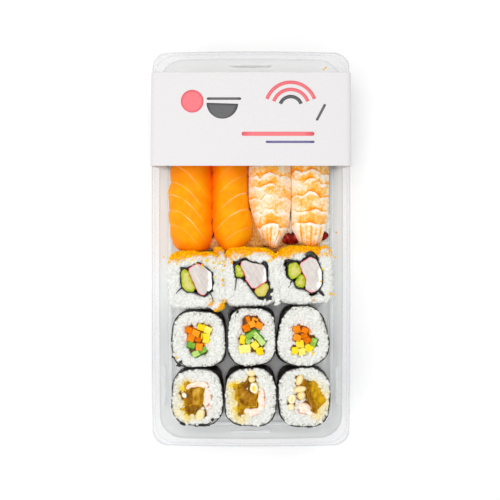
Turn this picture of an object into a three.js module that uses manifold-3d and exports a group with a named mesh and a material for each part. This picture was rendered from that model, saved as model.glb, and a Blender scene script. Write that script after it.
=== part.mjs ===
// Takeaway sushi tray: a clear thermoformed tray, a card band round its far end, and
// thirteen pieces of sushi: four nigiri, three inside-out rolls and six thick rolls.
// Millimetres, +Z up, +Y away from the eater, origin on the table under the tray's middle.

import * as THREE from 'three';
import Module from 'manifold-3d';
import { mergeVertices } from 'three/addons/utils/BufferGeometryUtils.js';

const wasm = await Module();
wasm.setup();

// ---------------------------------------------------------------- driving dimensions

const gap = 0.3;              // left between pieces that touch
const sheet = 0.6;            // thickness of the tray's plastic

const tray = {
  halfWidth: 63,              // outer edge of the rim
  halfLength: 125,
  outerCorner: 9.5,
  innerCorner: 14,
  height: 36,
  ledgeWidth: 2,              // low outer ledge of the rim
  ledgeDrop: 1.2,
  flatWidth: 3.5,             // high inner flat of the rim
  draft: 2.3,                 // how far a wall leans out over its height
  foot: 3.2,                  // rounding between wall and floor
  sideBow: 0.7,               // the sides and ends bulge a little
  endBow: 1.1,
  cornerSteps: 5,
};

const band = {
  near: 51.7,                 // the card covers the tray from here ...
  far: 111.2,                 // ... to here
  card: 0.4,
  crown: 0.5,
};

const recessDepth = 0.7;      // the tray's floor rises over the band's lower panel
const recessEdge = band.near - 1.2;

const rollBase = sheet + gap;
const nigiriBase = sheet + recessDepth + gap;
const rollTop = 27;
const noriSheet = 0.6;
const ringSteps = 28;         // corners round a roll
const grainBump = 0.8;        // depth of the hollows between rice grains
const roeRadius = 0.95;

// ---------------------------------------------------------------- small tools

// A repeatable random draw in 0..1 for each whole-number key.
function draw(key) {
  const wave = Math.sin(key * 127.1 + 311.7) * 43758.5453;
  return wave - Math.floor(wave);
}

function mix(a, b, t) {
  return a + (b - a) * t;
}

function finish(name, geometry, colour, roughness = 0.6) {
  const flat = geometry.index ? geometry.toNonIndexed() : geometry;
  flat.computeVertexNormals();
  const material = new THREE.MeshStandardMaterial({ color: colour, roughness, metalness: 0 });
  const mesh = new THREE.Mesh(flat, material);
  mesh.name = name;
  return mesh;
}

// Skins a stack of equal-length loops. The ends are closed by a fan to their middle, or
// by strips from the first half of the loop to its mirrored half.
function skin(loops, ends = 'fan') {
  const size = loops[0].length;
  const points = loops.flat();
  const faces = [];
  const quad = (a, b, c, d) => faces.push(a, b, c, a, c, d);
  const rows = ends === 'ring' ? loops.length : loops.length - 1;
  for (let row = 0; row < rows; row += 1) {
    const low = row * size;
    const high = ((row + 1) % loops.length) * size;
    for (let i = 0; i < size; i += 1) {
      const next = (i + 1) % size;
      quad(low + i, low + next, high + next, high + i);
    }
  }
  if (ends === 'fan') {
    for (const last of [false, true]) {
      const start = last ? (loops.length - 1) * size : 0;
      const middle = points.length;
      points.push(middlePoint(last ? loops[loops.length - 1] : loops[0]));
      for (let i = 0; i < size; i += 1) {
        const next = (i + 1) % size;
        if (last) faces.push(middle, start + i, start + next);
        else faces.push(middle, start + next, start + i);
      }
    }
  }
  if (ends === 'strips') {
    for (const last of [false, true]) {
      const start = last ? (loops.length - 1) * size : 0;
      for (let i = 0; i < size / 2 - 1; i += 1) {
        const across = size - 1 - i;
        const corners = [i, i + 1, across - 1, across].map((k) => start + k);
        if (last) quad(...corners);
        else quad(corners[3], corners[2], corners[1], corners[0]);
      }
    }
  }
  const geometry = new THREE.BufferGeometry();
  const numbers = points.flatMap((p) => [p.x, p.y, p.z]);
  geometry.setAttribute('position', new THREE.Float32BufferAttribute(numbers, 3));
  geometry.setIndex(faces);
  return geometry;
}

function middlePoint(loop) {
  const sum = loop.reduce((total, p) => total.add(p), new THREE.Vector3());
  return sum.divideScalar(loop.length);
}

// Moves every corner of a closed outline outwards along its two edges' normals.
function grow(outline, distance) {
  const count = outline.length;
  return outline.map((point, i) => {
    const before = outline[(i + count - 1) % count];
    const after = outline[(i + 1) % count];
    const inwardEdge = point.clone().sub(before).normalize();
    const outwardEdge = after.clone().sub(point).normalize();
    const normalA = new THREE.Vector2(inwardEdge.y, -inwardEdge.x);
    const normalB = new THREE.Vector2(outwardEdge.y, -outwardEdge.x);
    const sum = normalA.add(normalB);
    const reach = distance / Math.max(0.35, sum.lengthSq() / 4) / 2;
    return point.clone().addScaledVector(sum, reach);
  });
}

function prism(outline, low, high) {
  const shape = new THREE.Shape(outline);
  const geometry = new THREE.ExtrudeGeometry(shape, { depth: high - low, bevelEnabled: false });
  return geometry.translate(0, 0, low);
}

// ---------------------------------------------------------------- solids

function toSolid(geometry) {
  const bare = geometry.clone();
  bare.deleteAttribute('normal');
  bare.deleteAttribute('uv');
  const merged = mergeVertices(bare, 1e-4);
  const mesh = new wasm.Mesh({
    numProp: 3,
    vertProperties: Float32Array.from(merged.attributes.position.array),
    triVerts: Uint32Array.from(merged.index.array),
  });
  return new wasm.Manifold(mesh);
}

function toGeometry(solid) {
  const mesh = solid.getMesh();
  const geometry = new THREE.BufferGeometry();
  geometry.setAttribute('position', new THREE.BufferAttribute(mesh.vertProperties, 3));
  geometry.setIndex(new THREE.BufferAttribute(mesh.triVerts, 1));
  return geometry;
}

function joinAll(solids) {
  return solids.reduce((total, solid) => total.add(solid));
}

// Cutting can leave loose scraps, which are dropped.
function largest(solid) {
  const pieces = solid.decompose();
  return pieces.reduce((best, piece) => (piece.volume() > best.volume() ? piece : best));
}

// ---------------------------------------------------------------- tray and band

// Right half of a tray outline, from the middle of the near end to that of the far end.
function trayHalfOutline(halfWidth, halfLength, corner) {
  const straightX = halfWidth - corner;
  const straightY = halfLength - corner;
  const side = [-60, 0, recessEdge, recessEdge + 0.4];
  const points = [0, 0.55].map((part) => [straightX * part, -halfLength]);
  const turn = (fromAngle, centreY) => {
    for (let i = 0; i <= tray.cornerSteps; i += 1) {
      const angle = fromAngle + (Math.PI / 2) * (i / tray.cornerSteps);
      points.push([straightX + corner * Math.cos(angle), centreY + corner * Math.sin(angle)]);
    }
  };
  turn(-Math.PI / 2, -straightY);
  side.forEach((y) => points.push([halfWidth, y]));
  turn(0, straightY);
  [0.55, 0].forEach((part) => points.push([straightX * part, halfLength]));
  return points.map(([x, y]) => [
    x * (1 - (tray.sideBow / tray.halfWidth) * (y / halfLength) ** 2),
    y - tray.endBow * Math.sign(y) * (x / halfWidth) ** 2 * (y / halfLength) ** 6,
  ]);
}

function trayLoop({ inset, corner, z, recess = false }) {
  const outline = trayHalfOutline(tray.halfWidth - inset, tray.halfLength - inset, corner);
  const place = ([x, y]) => {
    const raised = recess && y > recessEdge + 0.2 ? recessDepth : 0;
    return new THREE.Vector3(x, y, z + raised);
  };
  const right = outline.map(place);
  const left = outline.map(([x, y]) => place([-x, y])).reverse();
  // The two halves' middle points would double up, so they step apart.
  const stepAside = 4;
  for (const [half, side] of [[right, 1], [left, -1]]) {
    half[0].x = side * stepAside;
    half[half.length - 1].x = side * stepAside;
  }
  return [...right, ...left];
}

function makeTray() {
  const ledge = tray.ledgeWidth;
  const rim = ledge + tray.flatWidth;
  const wallFoot = rim + tray.draft;
  const floorEdge = wallFoot + tray.foot;
  const top = tray.height;
  const low = top - tray.ledgeDrop;
  const midFoot = tray.foot * 0.35;
  const loops = [
    { inset: floorEdge + 0.1, corner: 9, z: 0, recess: true },
    { inset: wallFoot + midFoot - sheet, corner: 11, z: 1.1 },
    { inset: wallFoot - sheet, corner: 12.6, z: tray.foot + 0.8 },
    { inset: rim - sheet, corner: tray.innerCorner + 0.5, z: top - sheet },
    { inset: ledge + sheet, corner: 12, z: top - sheet },
    { inset: ledge + 0.3, corner: 12, z: low - sheet },
    { inset: 0, corner: tray.outerCorner, z: low - sheet },
    { inset: 0, corner: tray.outerCorner, z: low },
    { inset: ledge - 0.1, corner: 12, z: low },
    { inset: ledge + 0.2, corner: 12, z: top },
    { inset: rim, corner: tray.innerCorner, z: top },
    { inset: wallFoot, corner: 12, z: tray.foot + 1.2 },
    { inset: wallFoot + midFoot, corner: 10.6, z: 1.8 },
    { inset: floorEdge, corner: 9, z: sheet, recess: true },
  ];
  const shell = toSolid(skin(loops.map(trayLoop), 'strips'));
  return toGeometry(joinAll([shell, ...trayRibs()]));
}

// Short stacking ribs moulded on the inside of the four walls.
function trayRibs() {
  const rib = { long: 26, wide: 1.6, tall: 1.4, z: 20 };
  const wallInset = tray.ledgeWidth + tray.flatWidth + tray.draft * 0.45;
  const ribs = [];
  const bar = (x, y, lengthX, lengthY) => {
    const geometry = new THREE.BoxGeometry(lengthX, lengthY, rib.tall);
    ribs.push(toSolid(geometry.translate(x, y, rib.z)));
  };
  for (const side of [-1, 1]) {
    const x = side * (tray.halfWidth - wallInset);
    bar(x, -88, rib.wide, rib.long);
    bar(x, 88, rib.wide, rib.long);
    bar(0, side * (tray.halfLength - wallInset), rib.long, rib.wide);
  }
  return ribs;
}

// Inner face of the card, from the middle of its top round to the middle of its bottom.
function bandInnerHalf(edge) {
  const top = tray.height + gap;
  return [
    [0, top + band.crown],
    [30, top + band.crown * 0.75],
    [edge - 5, top + 0.1],
    [edge - 2, top],
    [edge, top - 1],
    [edge, top - 2.6],
    [edge - 3.4, 17],
    [edge - 6.9, 2.2],
    [edge - 8, 0.8],
    [edge - 9.6, band.card],
    [0, band.card],
  ];
}

function bandLoops(y) {
  const trayEdge = tray.halfWidth - tray.sideBow * (y / tray.halfLength) ** 2;
  const half = bandInnerHalf(trayEdge + gap + 0.1);
  const rightSide = half.map(([x, z]) => new THREE.Vector2(x, z));
  const leftSide = half.slice(1, -1).reverse().map(([x, z]) => new THREE.Vector2(-x, z));
  const inner = [...rightSide, ...leftSide].reverse();
  const outer = grow(inner, band.card);
  const stand = (outline) => outline.map((p) => new THREE.Vector3(p.x, y, Math.max(0, p.y)));
  return { inner: stand(inner), outer: stand(outer) };
}

function makeBand() {
  const stations = [band.far, mix(band.near, band.far, 0.5), band.near].map(bandLoops);
  const outer = stations.map((loops) => loops.outer);
  const inner = stations.map((loops) => loops.inner).reverse();
  return skin([...outer, ...inner], 'ring');
}

// ---------------------------------------------------------------- rolls

// Rounded square outline of a roll. taper below zero narrows its far side.
function rollPoint(roll, angle, inset = 0) {
  const power = roll.squareness;
  const c = Math.cos(angle);
  const s = Math.sin(angle);
  const radius = (Math.abs(c) ** power + Math.abs(s) ** power) ** (-1 / power);
  const wobble = 1 + 0.012 * Math.sin(3 * angle + roll.seed) + 0.01 * Math.sin(5 * angle - roll.seed);
  const x = (roll.width / 2 - inset) * radius * c * (1 + roll.taper * radius * s);
  const y = (roll.depth / 2 - inset) * radius * s;
  return new THREE.Vector2(x * wobble, y * wobble);
}

// A loop round the roll. Lower loops are drawn in, because the tray's walls lean.
function rollLoop(roll, { inset = 0, scale = 1, z, rough = 0, roughZ = 0, key = 0 }) {
  const loop = [];
  const drawnIn = mix(0.94, 1, Math.min(1, Math.max(0, (z - rollBase) / 5)));
  for (let i = 0; i < ringSteps; i += 1) {
    const angle = (2 * Math.PI * i) / ringSteps;
    const bump = draw(roll.seed * 97 + key * 13.7 + i);
    const point = rollPoint(roll, angle, inset + bump * rough).multiplyScalar(scale * drawnIn);
    const height = z - draw(roll.seed * 31 + key * 7.3 + i * 1.7) * roughZ;
    loop.push(new THREE.Vector3(roll.x + point.x, roll.y + point.y, height));
  }
  return loop;
}

function makeNoriWrap(roll) {
  const edge = rollTop + 0.3;
  const loops = [
    { z: rollBase },
    { z: edge, roughZ: 0.7, key: 1 },
    { z: edge, inset: noriSheet, roughZ: 0.7, key: 1 },
    { z: rollBase, inset: noriSheet },
  ];
  return skin(loops.map((loop) => rollLoop(roll, loop)), 'ring');
}

// Rice inside a seaweed wrap: smooth sides and a grainy top.
function wrappedRice(roll) {
  const inset = noriSheet + gap;
  const loops = [
    { inset, z: rollBase },
    { inset, z: rollTop - 0.8, key: 2 },
    { inset, scale: 0.93, z: rollTop + 0.6, roughZ: grainBump, key: 3 },
    { inset, scale: 0.72, z: rollTop + 0.6, roughZ: grainBump * 1.5, key: 4 },
    { inset, scale: 0.5, z: rollTop + 0.4, roughZ: grainBump * 1.5, key: 5 },
  ];
  return toSolid(skin(loops.map((loop) => rollLoop(roll, loop))));
}

// Rice on the outside of a roll: grainy all round, with fish roe along its far side.
function bareRice(roll) {
  const rough = grainBump;
  const loops = [
    { inset: 0.6, z: rollBase, key: 1 },
    { rough, z: rollBase + 6, key: 2 },
    { rough, z: rollBase + 12, key: 3 },
    { rough, z: rollBase + 18, key: 4 },
    { rough, inset: 0.3, z: rollTop - 2.4, key: 6 },
    { rough, inset: 1.6, z: rollTop + 0.2, roughZ: rough, key: 7 },
    { scale: 0.74, z: rollTop + 0.4, roughZ: rough * 1.5, key: 8 },
    { scale: 0.5, z: rollTop, roughZ: rough, key: 9 },
  ];
  const body = toSolid(skin(loops.map((loop) => rollLoop(roll, loop))));
  return joinAll([body, ...roeBeads(roll)]);
}

function roeBeads(roll) {
  const beads = [];
  const rows = [
    { z: rollTop - 0.7, inset: 1.1, count: 8 },
    { z: rollTop - 6, inset: 0.3, count: 5 },
  ];
  rows.forEach((row, rowIndex) => {
    for (let i = 0; i < row.count; i += 1) {
      const part = (i + 0.5 + 0.4 * (draw(roll.seed + i + rowIndex * 50) - 0.5)) / row.count;
      const point = rollPoint(roll, mix(0.2, 0.8, part) * Math.PI, row.inset + roeRadius * 0.5);
      const bead = new THREE.OctahedronGeometry(roeRadius);
      bead.rotateX(part * 5).rotateZ(part * 9);
      beads.push(toSolid(bead.translate(roll.x + point.x, roll.y + point.y, row.z)));
    }
  });
  return beads;
}

// ---------------------------------------------------------------- fillings

// Outlines are given round the roll's own middle: a cut stick is a turned rectangle,
// a strip follows a path, and a slab has its own few corners.
function stickOutline([x, y, width, depth, turnDegrees]) {
  const w = width / 2;
  const d = depth / 2;
  const corners = [[w, -d], [w, d], [-w, d], [-w, -d]];
  const turn = THREE.MathUtils.degToRad(turnDegrees);
  const middle = new THREE.Vector2(x, y);
  return corners.map(([a, b]) => {
    return new THREE.Vector2(a, b).rotateAround(new THREE.Vector2(), turn).add(middle);
  });
}

function stripOutline(path, width) {
  const curve = new THREE.SplineCurve(path.map(([x, y]) => new THREE.Vector2(x, y)));
  const steps = path.length * 2;
  const sideOf = (sign) => Array.from({ length: steps + 1 }, (_, i) => {
    const at = curve.getPoint(i / steps);
    const along = curve.getTangent(i / steps);
    const ends = i === 0 || i === steps ? 0.6 : 1;
    const normal = new THREE.Vector2(-along.y, along.x);
    return at.addScaledVector(normal, sign * ends * width / 2);
  });
  return [...sideOf(-1), ...sideOf(1).reverse()];
}

function slabOutline(corners) {
  return corners.map(([x, y]) => new THREE.Vector2(x, y));
}

function outlinesOf(filling) {
  if (filling.sticks) return filling.sticks.map(stickOutline);
  if (filling.path) return [stripOutline(filling.path, filling.width)];
  return [slabOutline(filling.corners)];
}

// One filling as a solid through the whole roll, grown by spare all round.
function fillingSolid(roll, filling, spare = 0) {
  const low = rollBase - spare * 10;
  const solids = outlinesOf(filling).map((outline, i) => {
    const lift = spare ? 20 : (filling.lift ?? 0.6) + 0.7 * draw(roll.seed + i * 3);
    const anticlockwise = THREE.ShapeUtils.isClockWise(outline) ? outline.reverse() : outline;
    const placed = grow(anticlockwise, spare).map((p) => p.add(new THREE.Vector2(roll.x, roll.y)));
    return toSolid(prism(placed, low, rollTop + lift));
  });
  return joinAll(solids);
}

// Fillings keep clear of the ones listed before them; the rice keeps clear of them all.
function makeFillings(roll) {
  const kept = [];
  const meshes = roll.fillings.map((filling) => {
    let solid = fillingSolid(roll, filling);
    kept.forEach((other) => {
      solid = solid.subtract(other);
    });
    kept.push(fillingSolid(roll, filling, gap));
    const food = foods[filling.food];
    return finish(`${roll.name}_${filling.name}`, toGeometry(largest(solid)), food.colour, food.roughness);
  });
  return { meshes, keepOut: joinAll(kept) };
}

const foods = {
  rice: { colour: 0xebeee6, roughness: 0.55 },
  nori: { colour: 0x231c1c, roughness: 0.7 },
  carrot: { colour: 0xf27a1a, roughness: 0.45 },
  egg: { colour: 0xffe84a, roughness: 0.5 },
  cucumber: { colour: 0x9cc84a, roughness: 0.35 },
  avocado: { colour: 0xc8cf55, roughness: 0.5 },
  surimi: { colour: 0xf0e8e2, roughness: 0.5 },
  gourd: { colour: 0xa6700f, roughness: 0.3 },
  prawn: { colour: 0xfbe6d0, roughness: 0.4 },
  prawnTail: { colour: 0xa82a1c, roughness: 0.4 },
  kernel: { colour: 0xf0d49a, roughness: 0.5 },
  salmon: { colour: 0xff9a1e, roughness: 0.35 },
};

const square = (x, y, turn, size = 5.2) => [x, y, size, size, turn];

// Three thick rolls with cut vegetables and egg.
const vegetableRolls = [
  {
    name: 'vegetable_roll_left', x: -33.6, y: -57.6, width: 34.6, depth: 36.2,
    squareness: 2.9, taper: -0.07, seed: 1,
    fillings: [
      { name: 'carrot', food: 'carrot', sticks: [
        square(-5.6, 6.8, 20), square(-1, 4.5, 50), square(-4, 1.6, 10), square(0.2, -0.1, 35),
        square(1, -4, 15, 4.4)] },
      { name: 'egg', food: 'egg', sticks: [
        square(1.9, 8.2, 10), square(6, 6.1, 35, 5.4), square(5.6, 1.2, 5, 5.6)] },
      { name: 'cucumber', food: 'cucumber', lift: 0.2, sticks: [
        [-4.6, -3.4, 6, 5, 60], [-2.6, -7.2, 7, 4.4, 40], [2.4, -8, 6.4, 4.2, -10]] },
    ],
  },
  {
    name: 'vegetable_roll_mid', x: 0.5, y: -56.1, width: 30.9, depth: 37.2,
    squareness: 3.2, taper: 0.0, seed: 2,
    fillings: [
      { name: 'carrot', food: 'carrot', sticks: [
        [-2.2, 11, 7.5, 4, 15], square(0.2, 7.9, 20), square(4.4, 7.6, 40), square(-3.4, 5.7, 5),
        square(2.9, 11.4, 10, 4)] },
      { name: 'cucumber', food: 'cucumber', lift: 0.2, sticks: [
        [-0.4, 2.4, 10.5, 4, -32], [4.4, -0.8, 10.5, 4, -32], [7.4, 1.4, 4, 5, -32]] },
      { name: 'egg', food: 'egg', sticks: [
        square(-6.4, -1.2, 25, 5), square(-4.2, -5.9, 12, 7), square(1.4, -6.4, 30, 5.8),
        square(5.6, -8.4, 5, 5.6)] },
    ],
  },
  {
    name: 'vegetable_roll_right', x: 33.1, y: -55.6, width: 32.6, depth: 38.8,
    squareness: 2.6, taper: -0.12, seed: 3,
    fillings: [
      { name: 'carrot', food: 'carrot', sticks: [
        square(-3.6, 4.5, 25), square(0.9, 4.4, 5), square(-3.8, -0.1, 12), square(0.7, 0.4, 40),
        square(3.6, -1.6, 20)] },
      { name: 'cucumber', food: 'cucumber', lift: 0.2, sticks: [[7.6, -3.6, 4.6, 7.6, 15]] },
      { name: 'egg', food: 'egg', sticks: [
        square(-2.4, -5.6, 20, 5.6), square(-6, -8.3, 35, 5), square(-1.4, -9.9, 10, 5.4),
        square(3.4, -7.6, 25, 6.2)] },
    ],
  },
];

// Three thick rolls with simmered gourd strips, a strip of prawn and pale kernels.
const gourdRolls = [
  {
    name: 'gourd_roll_left', x: -34.3, y: -95, width: 33, depth: 36.2,
    squareness: 2.9, taper: 0.0, seed: 4,
    fillings: [
      { name: 'prawn', food: 'prawn', width: 3.2, path: [
        [-7.2, 6.6], [-5.4, 9.8], [0.2, 10.7], [5.4, 10.2], [8, 6.4], [8.5, 0.4], [5.8, -4.4]] },
      { name: 'gourd', food: 'gourd', lift: 0.1, corners: [
        [-5, 8], [0, 9], [5, 8.4], [6.4, 4], [6, -1], [3.8, -6], [-1, -10.6], [-6, -10],
        [-9.6, -7.4], [-8, -3], [-5.4, 0.4], [-6, 5]] },
      { name: 'kernel_left', food: 'kernel', sticks: [[-9, 1.6, 4.4, 6, 10]] },
      { name: 'kernel_near', food: 'kernel', sticks: [[3, -10.4, 6.4, 4.6, 15]] },
    ],
  },
  {
    name: 'gourd_roll_mid', x: -0.2, y: -94.7, width: 33.2, depth: 36.8,
    squareness: 3, taper: -0.04, seed: 5,
    fillings: [
      { name: 'prawn', food: 'prawn', width: 4.4, path: [
        [6.4, 5], [6.6, 0], [6.2, -4.4], [3, -7.6], [-3, -7.8]] },
      { name: 'kernel', food: 'kernel', sticks: [[1.4, 11.8, 6.6, 4.6, -20], [2.6, 8, 4.8, 5.6, 10]] },
      { name: 'gourd', food: 'gourd', lift: 0.1, corners: [
        [-9.4, 8.8], [-5.1, 10.4], [-2, 9.6], [0, 6], [4, 5], [4, -3], [-2, -5.4],
        [-3.4, -11.4], [-7.8, -11.6], [-8.2, -5.4], [-9.6, 2], [-10.4, 6.6]] },
    ],
  },
  {
    name: 'gourd_roll_right', x: 34, y: -94.8, width: 33.4, depth: 37.4,
    squareness: 3, taper: 0.0, seed: 6,
    fillings: [
      { name: 'prawn', food: 'prawn', width: 5.6, path: [[-2, -4.2], [0.6, -6.4], [4.4, -9.6]] },
      { name: 'kernel_far', food: 'kernel', sticks: [
        [-3.4, 10.6, 4.4, 7, 15], [-2.6, 5.4, 4.2, 6.4, -10], [-2.4, 1.2, 4.6, 4.6, 20]] },
      { name: 'kernel_left', food: 'kernel', sticks: [[-8.1, -0.6, 4.8, 5.6, 10], [-8.4, -5.2, 4.6, 5, 25]] },
      { name: 'gourd', food: 'gourd', lift: 0.1, corners: [
        [0, 12.2], [2.8, 10.3], [6.9, 10], [9.6, 7.3], [11.2, 2.5], [13.4, -1.8], [10.3, -4.4],
        [8, -9.6], [5.3, -9.8], [3.2, -5.9], [0.4, -0.6], [0.4, 6.2]] },
    ],
  },
];

// Three inside-out rolls: rice outside, then seaweed round surimi and avocado.
const insideOutRolls = [
  {
    name: 'inside_out_roll_left', x: -36.2, y: -20, width: 34.6, depth: 36,
    squareness: 3.6, taper: 0.03, seed: 7,
    nori: [[-9.2, 4.6], [-7.4, 7.6], [-3.6, 8.2], [2.4, 11.6], [7, 8.6], [11.4, 5], [11.8, -5.4],
      [6.2, -10.4], [-0.6, -7.8], [-4.6, -7.8], [-8.2, -4.6]],
    fillings: [
      { name: 'surimi', food: 'surimi', corners: [
        [-3.6, 6.6], [2.8, 10.2], [10.2, 4.2], [10.6, -4.8], [5.9, -9], [1.6, -5.6], [-1.4, 1.4]] },
      { name: 'avocado', food: 'avocado', corners: [
        [-7.8, 4.4], [-6.4, 6.4], [-3.9, 5.8], [-1.9, 0.6], [0.6, -5.2], [-0.8, -6.8], [-3.8, -6.7],
        [-7, -3.9]] },
    ],
  },
  {
    name: 'inside_out_roll_mid', x: -1, y: -18.7, width: 33.8, depth: 36,
    squareness: 2.9, taper: 0.0, seed: 8,
    nori: [[-9.8, 8], [-7, 10.4], [-2.6, 12], [1.6, 10.2], [9, 9], [10.8, 6], [11.4, -2.2],
      [13.2, -5.6], [10.4, -12], [5, -12], [-1.4, -3.4], [-5.4, 0.2], [-9, 0.4]],
    fillings: [
      { name: 'surimi', food: 'surimi', corners: [
        [-5.4, 9], [-2.4, 10.8], [1.2, 8.9], [9.2, 7.6], [10, -2.2], [3.4, -6.6], [-2.8, 1.6]] },
      { name: 'avocado_left', food: 'avocado', corners: [
        [-9, 7.2], [-7, 8.4], [-5, 6], [-3, 1.8], [-5, 1.2], [-8.4, 1.4]] },
      { name: 'avocado_near', food: 'avocado', corners: [
        [3.4, -7.6], [9.9, -3], [12.2, -5.4], [9.7, -11.2], [5.4, -11]] },
    ],
  },
  {
    name: 'inside_out_roll_right', x: 35.1, y: -17.4, width: 35, depth: 33.4,
    squareness: 3.6, taper: 0.02, seed: 9,
    nori: [[-11.8, 8], [-7.6, 9.4], [-3, 9.4], [2.8, 13], [7, 10.8], [10.4, 3], [10.4, -5.4],
      [7.6, -9.4], [3.4, -11.2], [-1.2, -8.2], [-6.4, -7.2], [-8.6, -2.4], [-11.6, -1.4]],
    fillings: [
      { name: 'surimi', food: 'surimi', corners: [
        [-3.8, 7.6], [2.7, 11.9], [6.1, 10.2], [9.3, 2.5], [9.3, -4.9], [6.9, -7.6], [3.4, -10],
        [0, -7], [0.4, -2], [-1.8, 3]] },
      { name: 'avocado_far', food: 'avocado', corners: [
        [-10.6, 6.8], [-7.7, 8.2], [-4.4, 7], [-3, 3], [-5.6, -0.8], [-9.8, -0.6]] },
      { name: 'avocado_near', food: 'avocado', corners: [
        [-2.6, 1.6], [-0.6, -2.1], [-1, -6.6], [-5.4, -6.2], [-6, -1.9]] },
    ],
  },
];

function makeWrappedRoll(roll) {
  const { meshes, keepOut } = makeFillings(roll);
  const rice = toGeometry(largest(wrappedRice(roll).subtract(keepOut)));
  return [
    finish(`${roll.name}_nori`, makeNoriWrap(roll), foods.nori.colour, foods.nori.roughness),
    finish(`${roll.name}_rice`, rice, foods.rice.colour, foods.rice.roughness),
    ...meshes,
  ];
}

function makeInsideOutRoll(roll) {
  const { meshes, keepOut } = makeFillings(roll);
  const curve = slabOutline(roll.nori).reverse();
  const placed = curve.map((p) => p.add(new THREE.Vector2(roll.x, roll.y)));
  const outer = toSolid(prism(grow(placed, noriSheet), rollBase, rollTop + 0.4));
  const inner = toSolid(prism(placed, rollBase - 1, rollTop + 1));
  const nori = largest(outer.subtract(inner).subtract(keepOut));
  const hole = toSolid(prism(grow(placed, noriSheet + gap), rollBase - 1, rollTop + 4));
  const rice = toGeometry(largest(bareRice(roll).subtract(hole)));
  return [
    finish(`${roll.name}_rice`, rice, foods.rice.colour, foods.rice.roughness),
    finish(`${roll.name}_nori`, toGeometry(nori), foods.nori.colour, foods.nori.roughness),
    ...meshes,
  ];
}

// ---------------------------------------------------------------- nigiri

const nigiriFar = 70;          // the far ends lie hidden under the card band
const riceBlock = { height: 19, shorter: 8, narrower: 3.2 };

const salmonNigiri = [
  { name: 'salmon_left', x: -39.3, near: -0.6, width: 26.5, lean: 0.6, seed: 11 },
  { name: 'salmon_right', x: -12.5, near: -0.2, width: 24.5, lean: -0.6, seed: 12 },
];

const prawnNigiri = [
  { name: 'prawn_left', x: 13, near: 2.2, width: 24.4, lean: -0.4, seed: 13, tail: { x: 26.4, turn: 0 } },
  { name: 'prawn_right', x: 38.6, near: 3.2, width: 23.4, lean: 0, seed: 14, tail: { x: 47.4, turn: 14 } },
];

// Cross-section of a topping draped over rice: an arched outside and a thinner inside.
// With spare, it is the room that the topping needs, a little past each of its faces.
function drapeSection(piece, at, spare) {
  const across = 7;
  const middle = piece.x + at.shift;
  const outside = [];
  const inside = [];
  for (let i = 0; i <= across; i += 1) {
    const part = (2 * i) / across - 1;
    const flank = Math.abs(part);
    const lobe = flank > 0.4 ? at.lobe : 0;
    const height = at.crest - at.drop * flank ** 2.4 - lobe;
    const hem = flank > 0.99 ? -spare : spare;
    const outX = middle + part * (at.halfWidth + at.swell * 0.5 + spare);
    outside.push(new THREE.Vector3(outX, at.y, height + at.swell + hem));
    const thick = mix(at.thick, at.thick * 0.55, flank);
    const inX = middle + part * (at.halfWidth - at.thick * 0.25 - spare * flank);
    inside.push(new THREE.Vector3(inX, at.y, height - thick - spare * 1.5));
  }
  return [...outside, ...inside.reverse()];
}

// The two rounded ends of a topping hang down a little over the rice.
function drapeAt(piece, part, profile) {
  const endward = Math.abs(2 * part - 1);
  const round = (1 - endward ** profile.endPower) ** (1 / profile.endPower);
  const widthHere = mix(profile.endWidth, 1, round);
  return {
    y: mix(piece.near, nigiriFar, part),
    halfWidth: (piece.width / 2) * widthHere,
    shift: piece.lean * Math.sin(part * 4),
    crest: profile.crest - profile.endDrop * endward ** 6 + profile.wave * Math.sin(part * 11 + piece.seed),
    drop: profile.drop * widthHere,
    thick: profile.thick * mix(0.5, 1, round),
    lobe: 0,
    swell: 0,
  };
}

function makeSalmonSlice(piece, spare = 0) {
  const profile = { endPower: 5, endWidth: 0.5, crest: 27.2, endDrop: 7, drop: 11, thick: 5.6, wave: 0.3 };
  const stations = 9;
  const loops = [];
  for (let i = 0; i <= stations; i += 1) {
    const part = 0.5 - 0.5 * Math.cos((Math.PI * i) / stations);
    const at = drapeAt(piece, part, profile);
    if (i === 0) at.y -= spare;
    if (i === stations) at.y += spare;
    loops.push(drapeSection(piece, at, spare));
  }
  return toSolid(skin(loops));
}

// A split prawn: shell plates overlap towards the tail, with a ridge along the back.
function makePrawnBody(piece, spare = 0) {
  const profile = { endPower: 2.6, endWidth: 0.42, crest: 26, endDrop: 9, drop: 8.5, thick: 5, wave: 0 };
  const plates = 7;
  const platePart = [0, 0.9];
  const plateStep = 0.9;
  const loops = [];
  for (let plate = 0; plate < plates; plate += 1) {
    platePart.forEach((along, k) => {
      const part = (plate + along) / plates;
      const at = drapeAt(piece, part, profile);
      at.swell = plateStep * (spare ? 1 : k);
      at.lobe = 0.9;
      if (plate === 0 && k === 0) at.y -= spare;
      loops.push(drapeSection(piece, at, spare));
    });
  }
  const last = drapeAt(piece, 1, profile);
  last.y += spare;
  last.lobe = 0.9;
  loops.push(drapeSection(piece, last, spare));
  return toSolid(skin(loops));
}

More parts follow.
